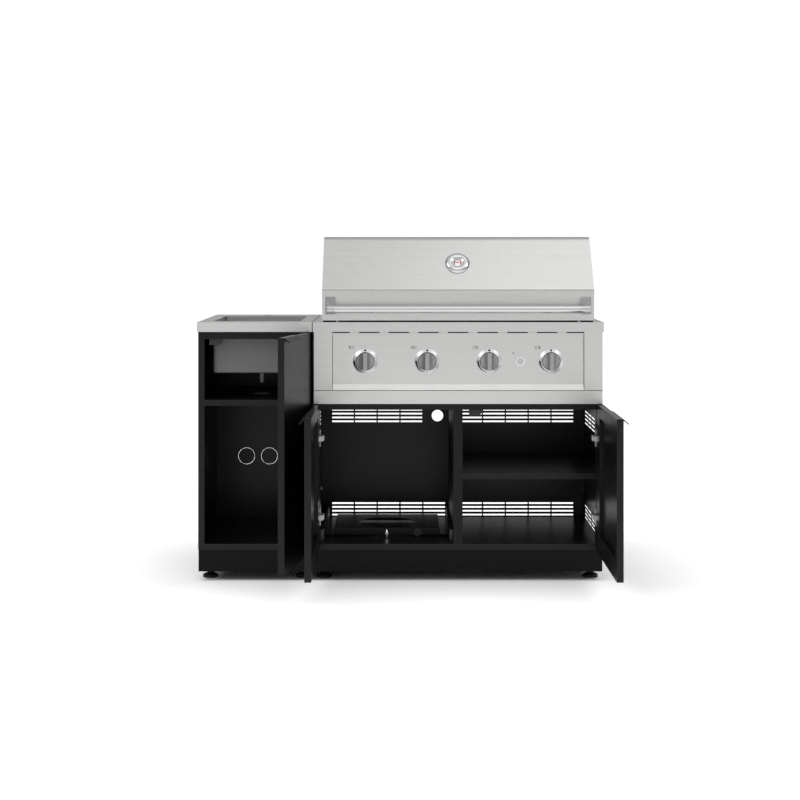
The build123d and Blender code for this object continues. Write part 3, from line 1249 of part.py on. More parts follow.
with BuildPart() as thermometer_needle:
    with Locations(GAUGE.offset(NEEDLE_Z)):
        Cylinder(NEEDLE_HUB_R, NEEDLE_HUB_T, align=FROM_BASE)
        with Locations(((NEEDLE_TAIL - NEEDLE_L) / 2, 0, 0)):
            Box(NEEDLE_L + NEEDLE_TAIL, NEEDLE_W, NEEDLE_T, align=FROM_BASE)
    with Locations(GAUGE.offset(NEEDLE_Z - NEEDLE_LIFT - NEEDLE_PIN_L)):
        Cylinder(NEEDLE_PIN_R, NEEDLE_PIN_L + NEEDLE_LIFT, align=FROM_BASE)
save(thermometer_needle, "thermometer_needle")

with BuildPart() as thermometer_lens:
    with Locations(GAUGE.offset(GAUGE_H - LENS_DROP - LENS_T)):
        Cylinder(DIAL_R, LENS_T, align=FROM_BASE)
save(thermometer_lens, "thermometer_lens")
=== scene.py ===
"""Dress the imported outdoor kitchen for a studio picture.

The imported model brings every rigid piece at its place, in metres. This script gives each of them
its finish, adds the print and the fine trim that are too small for the solids, and sets up the
studio round the object.
"""

import json
import logging
import math
from collections.abc import Sequence
from dataclasses import dataclass, field, replace
from enum import Enum

import bmesh
import bpy
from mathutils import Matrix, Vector


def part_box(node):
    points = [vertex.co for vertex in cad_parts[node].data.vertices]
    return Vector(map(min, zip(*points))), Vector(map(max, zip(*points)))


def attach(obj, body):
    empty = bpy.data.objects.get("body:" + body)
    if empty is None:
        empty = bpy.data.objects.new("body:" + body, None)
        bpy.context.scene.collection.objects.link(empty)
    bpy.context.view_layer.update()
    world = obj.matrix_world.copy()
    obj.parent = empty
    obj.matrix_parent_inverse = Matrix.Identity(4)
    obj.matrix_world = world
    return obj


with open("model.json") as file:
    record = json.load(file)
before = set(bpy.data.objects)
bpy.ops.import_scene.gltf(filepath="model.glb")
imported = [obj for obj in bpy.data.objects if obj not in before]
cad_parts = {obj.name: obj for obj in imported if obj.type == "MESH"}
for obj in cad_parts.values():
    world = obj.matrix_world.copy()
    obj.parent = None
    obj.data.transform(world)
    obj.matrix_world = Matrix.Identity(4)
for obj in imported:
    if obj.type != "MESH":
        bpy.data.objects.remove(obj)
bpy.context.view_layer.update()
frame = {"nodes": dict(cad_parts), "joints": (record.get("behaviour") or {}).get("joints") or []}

log = logging.getLogger("outdoor_kitchen")

Socket = bpy.types.NodeSocket
Span = tuple[float, float]
Triple = tuple[float, float, float]

MM = 0.001
ROOT_BODY = "cabinets"
HOOD_BODY = "hood"

RIGHT = Vector((1, 0, 0)).freeze()
BACK = Vector((0, 1, 0)).freeze()
UP = Vector((0, 0, 1)).freeze()

WHITE = (1.0, 1.0, 1.0, 1.0)
NOISE_MIDDLE = (0.3, 0.7)  # where most of a noise's values lie
NUMBER_RESULTS = ("LENGTH", "DOT_PRODUCT")  # vector operations that give a number

SMOOTH_DEG = 35.0  # flatter edges of a new piece are shaded smooth
EDGE_DEG = 40.0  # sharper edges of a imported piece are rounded
EDGE_SEGMENTS = 2

# Cross-sections, as shares of a radius, a width or a height.
HEAD_PROFILE = ((1.0, 0.0), (0.97, 0.22), (0.8, 0.42), (0.5, 0.52), (0.42, 0.5), (0.36, 0.28))
HEAD_SIDES = 20
# Cross-section of the dark strip painted as shade under the hood's front edge.
GAP_SHADE_PROFILE = (
    (0.0, 0.0), (0.0, 0.6), (0.2, 0.92), (0.5, 1.0), (0.8, 0.92), (1.0, 0.6), (1.0, 0.0)
)
SPARK_SHAPE = ((0.25, 0.0), (0.62, 0.55), (0.38, 0.55), (0.5, 1.0), (0.12, 0.42), (0.36, 0.42))


class Grain(Enum):
    """Direction in which a sheet was brushed, as the stretch of its noise along X, Y and Z."""

    ALONG_X = (3.0, 900.0, 900.0)
    ALONG_Y = (900.0, 3.0, 900.0)
    ALONG_Z = (900.0, 900.0, 3.0)


class Edge(Enum):
    """How far the edges of a kind of piece are rounded, in metres."""

    PRESSED = 0.4 * MM
    FOLDED = 0.5 * MM
    TURNED = 0.6 * MM
    COATED = 0.8 * MM
    ROD = 1.2 * MM


class MixKind(Enum):
    """What a mix node blends, with the places of its two ends and its result."""

    FLOAT = (2, 3, 0)
    RGBA = (6, 7, 2)


class NodeGraph:
    """A node tree, with short ways to add nodes and to link them."""

    def __init__(self, tree: bpy.types.NodeTree) -> None:
        """Work on a node tree.

        Args:
            tree: The tree.
        """
        self.tree = tree

    def join(self, value: object, socket: Socket) -> None:
        """Link a socket to an input, or set the input to a constant.

        Args:
            value: The socket or the constant.
            socket: The input.
        """
        if isinstance(value, Socket):
            self.tree.links.new(value, socket)
        else:
            socket.default_value = value

    def give(self, node: bpy.types.Node, **inputs: object) -> None:
        """Link or set a node's inputs.

        Args:
            node: The node.
            **inputs: Input names with underscores for spaces, and what each is given.
        """
        for name, value in inputs.items():
            self.join(value, node.inputs[name.replace("_", " ")])

    def node(self, kind: str, operation: str = "", **inputs: object) -> bpy.types.Node:
        """Add a node and link or set its inputs.

        Args:
            kind: Blender's name of the node type.
            operation: Blender's name of what it does, for a type that has a choice.
            **inputs: Input names with underscores for spaces, and what each is given.

        Returns:
            The new node.
        """
        made = self.tree.nodes.new(kind)
        if operation:
            made.operation = operation
        self.give(made, **inputs)
        return made

    def work(self, kind: str, operation: str, values: Sequence[object]) -> bpy.types.Node:
        """Add a node that works on values in order.

        Args:
            kind: Blender's name of the node type.
            operation: Blender's name of what it does.
            values: Sockets or constants.

        Returns:
            The new node.
        """
        made = self.node(kind, operation)
        for value, socket in zip(values, made.inputs):
            self.join(value, socket)
        return made

    def math(self, operation: str, *values: object) -> Socket:
        """Work on numbers and give the result."""
        return self.work("ShaderNodeMath", operation, values).outputs["Value"]

    def vector(self, operation: str, *values: object) -> Socket:
        """Work on vectors and give the result."""
        made = self.work("ShaderNodeVectorMath", operation, values)
        return made.outputs["Value" if operation in NUMBER_RESULTS else "Vector"]

    def parts(self, vector: Socket) -> bpy.types.NodeOutputs:
        """Split a vector into outputs named X, Y and Z."""
        return self.node("ShaderNodeSeparateXYZ", Vector=vector).outputs

    def ramp(self, value: Socket, span: Span, ends: tuple[object, object]) -> Socket:
        """Map a span of a value onto two ends, which hold outside the span.

        Args:
            value: The value.
            span: Where the span starts and ends.
            ends: What those become, sockets or numbers.

        Returns:
            The socket that carries the mapped value.
        """
        made = self.node(
            "ShaderNodeMapRange", Value=value,
            From_Min=span[0], From_Max=span[1], To_Min=ends[0], To_Max=ends[1],
        )
        return made.outputs["Result"]

    def blend(self, share: Socket, low: object, high: object) -> Socket:
        """Go from one colour or number to another.

        Args:
            share: 0 for the first, 1 for the second.
            low: The first, a socket or a number.
            high: The second, likewise.

        Returns:
            The socket that carries the blend.
        """
        number = isinstance(low, float) or low.type == "VALUE"
        kind = MixKind.FLOAT if number else MixKind.RGBA
        made = self.node("ShaderNodeMix", Factor=share)
        made.data_type = kind.name
        first, second, result = kind.value
        self.join(low, made.inputs[first])
        self.join(high, made.inputs[second])
        return made.outputs[result]


class ShaderGraph(NodeGraph):
    """The node tree of one material, with its surface shader ready to be fed."""

    def __init__(self, name: str) -> None:
        """Make a material of that name with one surface shader.

        Args:
            name: The material's name.
        """
        self.material = bpy.data.materials.new(name)
        self.material.use_nodes = True
        super().__init__(self.material.node_tree)
        self.shader = self.tree.nodes["Principled BSDF"]

    def feed(self, **values: object) -> None:
        """Link or set the shader's inputs, named with underscores for spaces."""
        self.give(self.shader, **values)

    def fed(self, name: str) -> Socket:
        """Give the socket that is linked to one of the shader's inputs."""
        return self.shader.inputs[name].links[0].from_socket

    def facing(self) -> Socket:
        """Give the direction out of the surface, in the object's own axes."""
        return self.node("ShaderNodeTexCoord").outputs["Normal"]

    def place(self, stretch: Triple = (1.0, 1.0, 1.0)) -> Socket:
        """Give the place on the object, stretched along X, Y and Z."""
        where = self.node("ShaderNodeTexCoord").outputs["Object"]
        return self.node("ShaderNodeMapping", Vector=where, Scale=stretch).outputs["Vector"]

    def noise(
        self, octaves: float, size: float = 1.0, stretch: Triple = (1.0, 1.0, 1.0)
    ) -> Socket:
        """Add a noise over the object and give its value.

        Args:
            octaves: How many finer noises it holds.
            size: The size of its patches, in metres.
            stretch: How much finer it is along X, Y and Z.

        Returns:
            The socket that carries the value.
        """
        made = self.node(
            "ShaderNodeTexNoise", Vector=self.place(stretch), Scale=1.0 / size, Detail=octaves
        )
        return made.outputs["Fac"]

    def spread(self, noise: Socket, middle: float, reach: float) -> Socket:
        """Map a noise's usual values onto a range that reaches both ways from a middle."""
        return self.ramp(noise, NOISE_MIDDLE, (middle - reach, middle + reach))

    def tint(self, colour: Triple, factor: Socket) -> Socket:
        """Multiply a colour by a varying factor and give the result."""
        made = self.node("ShaderNodeVectorMath", "SCALE", Vector=colour, Scale=factor)
        return made.outputs["Vector"]

    def bump(self, height: Socket, strength: float, depth: float) -> None:
        """Raise the surface by a height.

        Args:
            height: The socket that carries the height.
            strength: How strongly it shows.
            depth: What a height of 1 measures, in metres.
        """
        made = self.node("ShaderNodeBump", Height=height, Strength=strength, Distance=depth)
        self.feed(Normal=made.outputs["Normal"])


@dataclass(frozen=True)
class Finish:
    """A plain finish: one colour with a slight unevenness in its tone and gloss."""

    name: str
    slot: str
    colour: Triple
    roughness: float
    metallic: float = 0.0
    specular: float = 0.5
    mottle: float = 0.06
    mottle_size: float = 50 * MM
    gloss_swing: float = 0.12

    def material(self) -> bpy.types.Material:
        """Give the finish's material, made at the first call."""
        return bpy.data.materials.get(self.name) or self.build()

    def build(self) -> bpy.types.Material:
        """Make the material.

        Returns:
            The new material.
        """
        graph = ShaderGraph(self.name)
        graph.feed(Metallic=self.metallic, Specular_IOR_Level=self.specular)
        self.detail(graph)
        return graph.material

    def detail(self, graph: ShaderGraph) -> None:
        """Vary the tone and the gloss over the surface.

        Args:
            graph: The material's nodes.
        """
        cloud = graph.noise(octaves=4.0, size=self.mottle_size)
        graph.feed(
            Base_Color=graph.tint(self.colour, graph.spread(cloud, 1.0, self.mottle)),
            Roughness=self.gloss(graph, cloud),
        )

    def gloss(self, graph: ShaderGraph, noise: Socket) -> Socket:
        """Give the roughness, uneven as a noise is."""
        return graph.spread(noise, self.roughness, self.roughness * self.gloss_swing)


@dataclass(frozen=True)
class BrushedSteel(Finish):
    """Sheet steel with fine straight grain, and painted shade: a duller tone on level faces and
    dark front folds.
    """

    metallic: float = 1.0
    gloss_swing: float = 0.1
    grain: Grain = Grain.ALONG_X
    streak: float = 0.05
    haze: float = 0.03
    relief: float = 0.08
    relief_depth: float = 0.15 * MM
    level_shade: float = 1.0
    level_from: float = 0.85
    level_to: float = 0.98
    fold_shade: float = 1.0
    fold_span: Span = (0.82, 0.985)

    def detail(self, graph: ShaderGraph) -> None:
        """Draw the grain in tone, gloss and relief.

        Args:
            graph: The material's nodes.
        """
        hair = graph.noise(octaves=5.0, stretch=self.grain.value)
        cloud = graph.noise(octaves=3.0, size=self.mottle_size)
        streaks = graph.spread(hair, 1.0, self.streak)
        haze = graph.spread(cloud, 0.0, self.haze)
        # Painted shade, set by the way each face looks, is multiplied into the grain's colour.
        graph.feed(
            Base_Color=graph.tint(self.colour, graph.math("MULTIPLY", streaks, self.level(graph))),
            Roughness=graph.math("ADD", self.gloss(graph, hair), haze),
        )
        graph.bump(hair, self.relief, self.relief_depth)

    def level(self, graph: ShaderGraph) -> Socket:
        """Give 1 on upright faces, and painted shade: the level shade on level ones and the fold
        shade in front folds.

        Args:
            graph: The material's nodes.

        Returns:
            The socket that carries the factor.
        """
        # Painted shade: level faces darken, and faces that look forward at a slight lean, as in a
        # fold, darken more.
        parts = graph.parts(graph.facing())
        tone = graph.ramp(parts["Z"], (self.level_from, self.level_to), (1.0, self.level_shade))
        if self.fold_shade == 1.0:
            return tone
        low, high = self.fold_span
        bent = graph.math("LESS_THAN", parts["Y"], -low)
        fold = graph.math("MULTIPLY", bent, graph.math("GREATER_THAN", parts["Y"], -high))
        return graph.math("MULTIPLY", tone, graph.blend(fold, 1.0, self.fold_shade))


@dataclass(frozen=True)
class SprayedBasin(BrushedSteel):
    """A pressed basin: bare brushed steel inside, and grey sound-deadening spray outside."""

    spray: Triple = (0.16, 0.16, 0.16)
    spray_roughness: float = 0.75
    grit: float = 0.3
    grit_size: float = 1 / 340
    middle: Triple = (0.0, 0.0, 0.0)

    def detail(self, graph: ShaderGraph) -> None:
        """Lay the spray over the steel's outer faces.

        Args:
            graph: The material's nodes.
        """
        super().detail(graph)
        outside = self.outside(graph)
        grit = graph.noise(octaves=5.0, size=self.grit_size)
        spray = graph.tint(self.spray, graph.spread(grit, 1.0, self.grit))
        graph.feed(
            Base_Color=graph.blend(outside, graph.fed("Base Color"), spray),
            Roughness=graph.blend(outside, graph.fed("Roughness"), self.spray_roughness),
            Metallic=graph.blend(outside, self.metallic, 0.0),
        )

    def outside(self, graph: ShaderGraph) -> Socket:
        """Give 1 on the faces that look away from the basin's middle, and 0 on the others.

        Args:
            graph: The material's nodes.

        Returns:
            The socket that carries the choice.
        """
        away = graph.vector("SUBTRACT", graph.place(), self.middle)
        return graph.math("GREATER_THAN", graph.vector("DOT_PRODUCT", away, graph.facing()), 0.0)


@dataclass(frozen=True)
class TailedDrain(SprayedBasin):
    """A drain with a polished rim and a grey moulded tail."""

    def outside(self, graph: ShaderGraph) -> Socket:
        """Give 1 below the basin's floor and 0 above it."""
        return graph.math("LESS_THAN", graph.parts(graph.place())["Z"], self.middle[2])


@dataclass(frozen=True)
class PowderCoat(Finish):
    """Baked powder paint: an even colour with fine orange peel."""

    gloss_swing: float = 0.04
    peel: float = 0.03
    peel_size: float = 2 * MM
    peel_depth: float = 0.1 * MM

    def detail(self, graph: ShaderGraph) -> None:
        """Add the orange peel to the plain finish.

        Args:
            graph: The material's nodes.
        """
        super().detail(graph)
        graph.bump(graph.noise(octaves=2.0, size=self.peel_size), self.peel, self.peel_depth)


@dataclass(frozen=True)
class ZincPlate(Finish):
    """Zinc on steel, with the soft crystal patches of the bath."""

    metallic: float = 1.0
    gloss_swing: float = 0.15
    patch_size: float = 6 * MM
    patch_tone: float = 0.99
    patch_swing: float = 0.09

    def detail(self, graph: ShaderGraph) -> None:
        """Draw the crystal patches in tone and gloss.

        Args:
            graph: The material's nodes.
        """
        cells = graph.node(
            "ShaderNodeTexVoronoi", Vector=graph.place(), Scale=1.0 / self.patch_size
        )
        shade = graph.node("ShaderNodeSeparateColor", Color=cells.outputs["Color"]).outputs["Red"]
        tone = graph.spread(shade, self.patch_tone, self.patch_swing)
        graph.feed(Base_Color=graph.tint(self.colour, tone), Roughness=self.gloss(graph, shade))


@dataclass(frozen=True)
class HeatTintedSteel(BrushedSteel):
    """Steel that has been near a flame: straw and blue clouds over its grain."""

    tint_size: float = 90 * MM
    bare_to: float = 0.35
    straw_at: float = 0.52
    straw: Triple = (0.4, 0.31, 0.2)
    blue_from: float = 0.7
    blue: Triple = (0.2, 0.2, 0.24)

    def detail(self, graph: ShaderGraph) -> None:
        """Colour the grain with heat clouds.

        Args:
            graph: The material's nodes.
        """
        super().detail(graph)
        cloud = graph.noise(octaves=3.0, size=self.tint_size)
        clouds = graph.node("ShaderNodeValToRGB", Fac=cloud)
        stops = clouds.color_ramp.elements
        stops.new(self.straw_at)
        places = (self.bare_to, self.straw_at, self.blue_from)
        colours = (self.colour, self.straw, self.blue)
        for stop, place, colour in zip(stops, places, colours):
            stop.position = place
            stop.color = (*colour, 1.0)
        graph.feed(Base_Color=clouds.outputs["Color"])


@dataclass(frozen=True)
class ClearGlass(Finish):
    """Thin clear glass."""

    refraction: float = 1.1

    def build(self) -> bpy.types.Material:
        """Make the material.

        Returns:
            The new material.
        """
        graph = ShaderGraph(self.name)
        graph.feed(
            Base_Color=(*self.colour, 1.0), Roughness=self.roughness, Transmission_Weight=1.0,
            IOR=self.refraction,
        )
        return graph.material


# Sheet steel.
SHEET = (0.57, 0.57, 0.56)
FRONT_STEEL = BrushedSteel("front_steel", "stainless", SHEET, 0.34)
# The hood's level faces and its front fold carry painted shade.
HOOD_STEEL = BrushedSteel(
    "hood_steel", "stainless", SHEET, 0.3,
    streak=0.06, level_shade=0.87, level_from=0.68, fold_shade=0.58,
)
# A darker copy of the sheet, darker still on level faces: painted shade on the handle brackets.
SHADED_BRACKET_STEEL = BrushedSteel(
    "bracket_steel", "stainless", (0.5, 0.5, 0.5), 0.3, level_shade=0.75, level_from=0.5
)
# The worktops' level faces carry painted shade.
TOP_STEEL = BrushedSteel("top_steel", "stainless", SHEET, 0.36, level_shade=0.88)
GRATE_STEEL = BrushedSteel(
    "grate_steel", "stainless", (0.42, 0.42, 0.42), 0.35, grain=Grain.ALONG_Y
)
HOT_STEEL = HeatTintedSteel(
    "hot_steel", "stainless", (0.42, 0.41, 0.4), 0.4, grain=Grain.ALONG_Y
)
BASIN_STEEL = SprayedBasin("basin_steel", "stainless", (0.52, 0.52, 0.52), 0.38, streak=0.1)

# Paint and enamel.
BLACK_COAT = PowderCoat(
    "black_coat", "black_steel", (0.005, 0.005, 0.0053), 0.3, specular=0.2, mottle=0.04
)
DIVIDER_COAT = PowderCoat(
    "divider_coat", "black_steel", (0.006, 0.006, 0.0063), 0.5, specular=0.2, mottle=0.04
)
# A darker, less glossy copy of the black coat: painted shade on the plinths under the bottom rail.
SHADED_PLINTH_COAT = PowderCoat(
    "plinth_coat", "black_steel", (0.004, 0.004, 0.0042), 0.34, specular=0.1, mottle=0.04
)
FIRE_ENAMEL = PowderCoat(
    "fire_enamel", "black_steel", (0.02, 0.019, 0.018), 0.45, specular=0.35, mottle=0.25
)
WHITE_DIAL = Finish("white_dial", "white_enamel", (0.93, 0.93, 0.92), 0.35, mottle=0.02)
RED_PAINT = Finish("red_paint", "red_enamel", (0.5, 0.02, 0.02), 0.35)

# Plated and polished metal.
ZINC = ZincPlate("zinc", "zinc", (0.5, 0.5, 0.51), 0.38)
# A dark, duller copy of the zinc: painted shade on the tray runners inside the cabinet.
DULL_SHADED_ZINC = ZincPlate("dull_zinc", "zinc", (0.1, 0.1, 0.103), 0.5)
CHROME = Finish("chrome", "chrome", (0.72, 0.72, 0.73), 0.08, metallic=1.0, mottle=0.02)
BEZEL_CHROME = Finish(
    "bezel_chrome", "chrome", (0.74, 0.74, 0.75), 0.4, metallic=0.65, mottle=0.02
)
GAUGE_CHROME = Finish(
    "gauge_chrome", "chrome", (0.58, 0.58, 0.585), 0.15, metallic=1.0, mottle=0.02
)
DRAIN_CHROME = TailedDrain(
    "drain_finish", "grey_plastic", CHROME.colour, 0.12, spray=(0.6, 0.6, 0.6)
)
BAR_STEEL = BrushedSteel("bar_steel", "chrome", (0.54, 0.54, 0.54), 0.14, streak=0.03)
BUTTON_STEEL = BrushedSteel("button_steel", "chrome", (0.5, 0.5, 0.5), 0.3)
KNOB_METAL = BrushedSteel(
    "knob_metal", "satin_metal", (0.37, 0.37, 0.375), 0.6, grain=Grain.ALONG_Z
)
BRASS = Finish("brass", "brass", (0.62, 0.44, 0.18), 0.3, metallic=1.0)

# Rubber, plastic, ink and glass.
BLACK_RUBBER = Finish(
    "black_rubber", "rubber", (0.014, 0.014, 0.014), 0.6, specular=0.25, mottle=0.2
)
# A black, unreflecting strip that stands for the shadow in the gap under the hood: painted shade.
GAP_SHADE_FIBRE = Finish(
    "seal_fibre", "rubber", (0.004, 0.004, 0.004), 0.9,
    specular=0.0, mottle=0.3, mottle_size=4 * MM,
)
BLACK_PLASTIC = Finish(
    "black_plastic", "black_plastic", (0.016, 0.016, 0.016), 0.45, specular=0.3, mottle=0.15
)
BLACK_INK = Finish(
    "black_ink", "black_plastic", (0.004, 0.004, 0.004), 0.7, specular=0.05, mottle=0.1
)
LENS_GLASS = ClearGlass("lens_glass", "glass", (1.0, 1.0, 1.0), 0.02)


def new_object(name: str, data: bpy.types.ID) -> bpy.types.Object:
    """Put an object into the scene.

    Args:
        name: The object's name.
        data: Its mesh, light or camera.

    Returns:
        The new object.
    """
    made = bpy.data.objects.new(name, data)
    bpy.context.scene.collection.objects.link(made)
    return made


class MeshMaker:
    """Builds one mesh from several simple solids."""

    def __init__(self) -> None:
        """Start with nothing."""
        self.mesh = bmesh.new()

    def solid(self, rings: Sequence[Sequence[Vector]], hoop: bool = False) -> None:
        """Add a closed solid through rings of equal point counts.

        Args:
            rings: The rings, each a loop of points, in order.
            hoop: Whether the last ring joins the first; otherwise both ends are capped.
        """
        loops = [[self.mesh.verts.new(point) for point in ring] for ring in rings]
        count = len(loops[0])
        following = loops[1:] + loops[:1] if hoop else loops[1:]
        for lower, upper in zip(loops, following):
            for i in range(count):
                j = (i + 1) % count
                self.mesh.faces.new((lower[i], lower[j], upper[j], upper[i]))
        if not hoop:
            self.mesh.faces.new(list(reversed(loops[0])))
            self.mesh.faces.new(loops[-1])

    def slab(self, outline: Sequence[Vector], lift: Vector) -> None:
        """Add a flat solid over an outline.

        Args:
            outline: The outline's points in order.
            lift: From the outline to the other face.
        """
        self.solid([outline, [point + lift for point in outline]])

    def piece(self, name: str, body: str, finish: Finish) -> None:
        """Turn what was built into a piece of the object.

        Args:
            name: The piece's name.
            body: The body it moves with.
            finish: Its finish.
        """
        bmesh.ops.recalc_face_normals(self.mesh, faces=self.mesh.faces)
        data = bpy.data.meshes.new(name)
        self.mesh.to_mesh(data)
        self.mesh.free()
        data.shade_smooth()
        data.set_sharp_from_angle(angle=math.radians(SMOOTH_DEG))
        data.materials.append(finish.material())
        made = new_object(name, data)
        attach(made, body)
        log.info("%s rides on %s", name, body)


@dataclass(frozen=True)
class Spot:
    """A place on a surface, with the directions along it."""

    origin: Vector
    across: Vector
    up: Vector

    @property
    def out(self) -> Vector:
        """Direction out of the surface."""
        return self.across.cross(self.up)

    def point(self, x: float, y: float, z: float = 0.0) -> Vector:
        """Give a point by its distances across, up and out, in metres."""
        return self.origin + self.across * x + self.up * y + self.out * z

    def polar(self, radius: float, degrees: float, z: float = 0.0) -> Vector:
        """Give a point by its radius and its angle from across, turning towards up."""
        angle = math.radians(degrees)
        return self.point(radius * math.cos(angle), radius * math.sin(angle), z)

    def circle(self, radius: float, z: float = 0.0, sides: int = 32) -> list[Vector]:
        """Give the points of a circle round the place."""
        return [self.polar(radius, 360.0 * i / sides, z) for i in range(sides)]

    def rectangle(self, x0: float, x1: float, y0: float, y1: float) -> list[Vector]:
        """Give the corners of a rectangle by its sides' distances across and up."""
        return [self.point(x, y) for x, y in ((x0, y0), (x1, y0), (x1, y1), (x0, y1))]


def dress(finish: Finish, *nodes: str) -> None:
    """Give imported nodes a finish.

    Args:
        finish: The finish.
        *nodes: The nodes' names.
    """
    for name in nodes:
        node = frame["nodes"][name]
        node.data.materials.clear()
        node.data.materials.append(finish.material())
        log.info("%s is %s", name, finish.name)


def soften(edge: Edge, *nodes: str) -> None:
    """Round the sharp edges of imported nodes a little, so that they catch light.

    Args:
        edge: How far they are rounded.
        *nodes: The nodes' names.
    """
    for name in nodes:
        rounding = frame["nodes"][name].modifiers.new("edge_rounding", "BEVEL")
        rounding.width = edge.value
        rounding.segments = EDGE_SEGMENTS
        rounding.limit_method = "ANGLE"
        rounding.angle_limit = math.radians(EDGE_DEG)


def joint_place(name: str) -> tuple[Vector, Vector]:
    """Give a joint's point and axis at rest.

    Args:
        name: The joint's name.

    Returns:
        Its point and its axis.
    """
    found = next(joint for joint in frame["joints"] if joint["name"] == name)
    return Vector(found.get("pos_m", (0, 0, 0))), Vector(found["axis"]).normalized()


def corners(node: str) -> tuple[Vector, Vector]:
    """Give a node's lowest and highest corners."""
    low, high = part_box(node)
    return Vector(low), Vector(high)


def middle_of(node: str) -> Vector:
    """Give the middle of a node's box."""
    low, high = corners(node)
    return (low + high) / 2


@dataclass
class Cabinets:
    """The two carcasses, with their rivets."""

    rivet_r: float = 3.2 * MM
    rivet_pitch: float = 140 * MM
    rivet_inset: float = 11 * MM

    def build(self) -> None:
        """Dress the carcasses and rivet their backs."""
        dress(
            BLACK_COAT, "cabinet_floors", "sink_side_left", "sink_side_right", "grill_side_left",
            "grill_side_right", "sink_back", "grill_back", "shelves", "carcass_rails",
        )
        dress(DIVIDER_COAT, "divider")
        # Painted shade: the plinths get a darker copy of the black coat.
        dress(SHADED_PLINTH_COAT, "plinths")
        dress(BLACK_PLASTIC, "door_catches")
        dress(BLACK_RUBBER, "levelling_feet")
        dress(ZINC, "module_bolts")
        soften(Edge.COATED, "door_catches", "levelling_feet")
        for node in ("sink_back", "grill_back"):
            self.rivet_back(node)

    def rivet_back(self, node: str) -> None:
        """Put a row of domed rivets along both sides of a back panel.

        Args:
            node: The back panel.
        """
        low, high = corners(node)
        maker = MeshMaker()
        height = high.z - low.z - 2 * self.rivet_inset
        count = round(height / self.rivet_pitch)
        for x in (low.x + self.rivet_inset, high.x - self.rivet_inset):
            for i in range(count + 1):
                z = low.z + self.rivet_inset + height * i / count
                spot = Spot(Vector((x, high.y, z)), -RIGHT, UP)
                maker.solid([
                    spot.circle(self.rivet_r * r, self.rivet_r * rise, HEAD_SIDES)
                    for r, rise in HEAD_PROFILE
                ])
        maker.piece(f"{node}_rivets", ROOT_BODY, BLACK_COAT)


@dataclass
class Door:
    """One door, with its pull and the door halves of its hinges."""

    name: str

    def build(self) -> None:
        """Dress the door."""
        pull = f"{self.name}_pull"
        dress(BLACK_COAT, self.name, pull)
        dress(ZINC, f"{self.name}_hinge_cups")
        soften(Edge.COATED, self.name)
        soften(Edge.PRESSED, pull)


@dataclass
class Hinges:
    """The cabinet halves of the door hinges."""

    arms: str = "door_hinge_arms"

    def build(self) -> None:
        """Dress the hinge arms."""
        dress(ZINC, self.arms)
        soften(Edge.PRESSED, self.arms)


@dataclass
class SinkTop:
    """Worktop, basin and drain, with the strainer in the drain."""

    strainer_r: float = 24 * MM
    strainer_t: float = 1.2 * MM
    hub_share: float = 0.22
    root_share: float = 0.9
    spokes: int = 12
    root_half_deg: float = 9.0
    tip_half_deg: float = 4.5

    def build(self) -> None:
        """Dress the sink and seat its strainer."""
        middle = middle_of("sink_basin")
        seat = (middle.x, middle.y, corners("sink_basin")[0].z)
        dress(TOP_STEEL, "sink_worktop")
        dress(replace(BASIN_STEEL, middle=tuple(middle)), "sink_basin")
        dress(replace(DRAIN_CHROME, middle=seat), "sink_drain")
        soften(Edge.TURNED, "sink_worktop")
        self.strainer()

    def strainer(self) -> None:
        """Lay a spoked strainer on the drain's mouth."""
        middle = middle_of("sink_drain")
        top = corners("sink_drain")[1].z
        spot = Spot(Vector((middle.x, middle.y, top - self.strainer_t)), RIGHT, BACK)
        lift = spot.out * self.strainer_t
        hub, rim = self.hub_share * self.strainer_r, self.strainer_r
        root = hub * self.root_share
        maker = MeshMaker()
        maker.slab(spot.circle(hub), lift)
        for i in range(self.spokes):
            angle = 360.0 * i / self.spokes
            ends = (
                (root, -self.root_half_deg), (rim, -self.tip_half_deg),
                (rim, self.tip_half_deg), (root, self.root_half_deg),
            )
            maker.slab([spot.polar(radius, angle + turn) for radius, turn in ends], lift)
        maker.piece("drain_strainer", ROOT_BODY, CHROME)


@dataclass
class TankTray:
    """The gas cylinder tray, its slides, its clamp and its lock."""

    tray: str = "tank_tray"
    lock: str = "tray_lock_knob"

    def build(self) -> None:
        """Dress the tray."""
        dress(BLACK_COAT, self.tray, "tray_slides")
        # Painted shade: the runners get a dark copy of the zinc.
        dress(DULL_SHADED_ZINC, "tray_runners")
        dress(CHROME, "tank_clamp_screw")
        dress(BLACK_PLASTIC, self.lock)
        soften(Edge.COATED, self.lock, self.tray)


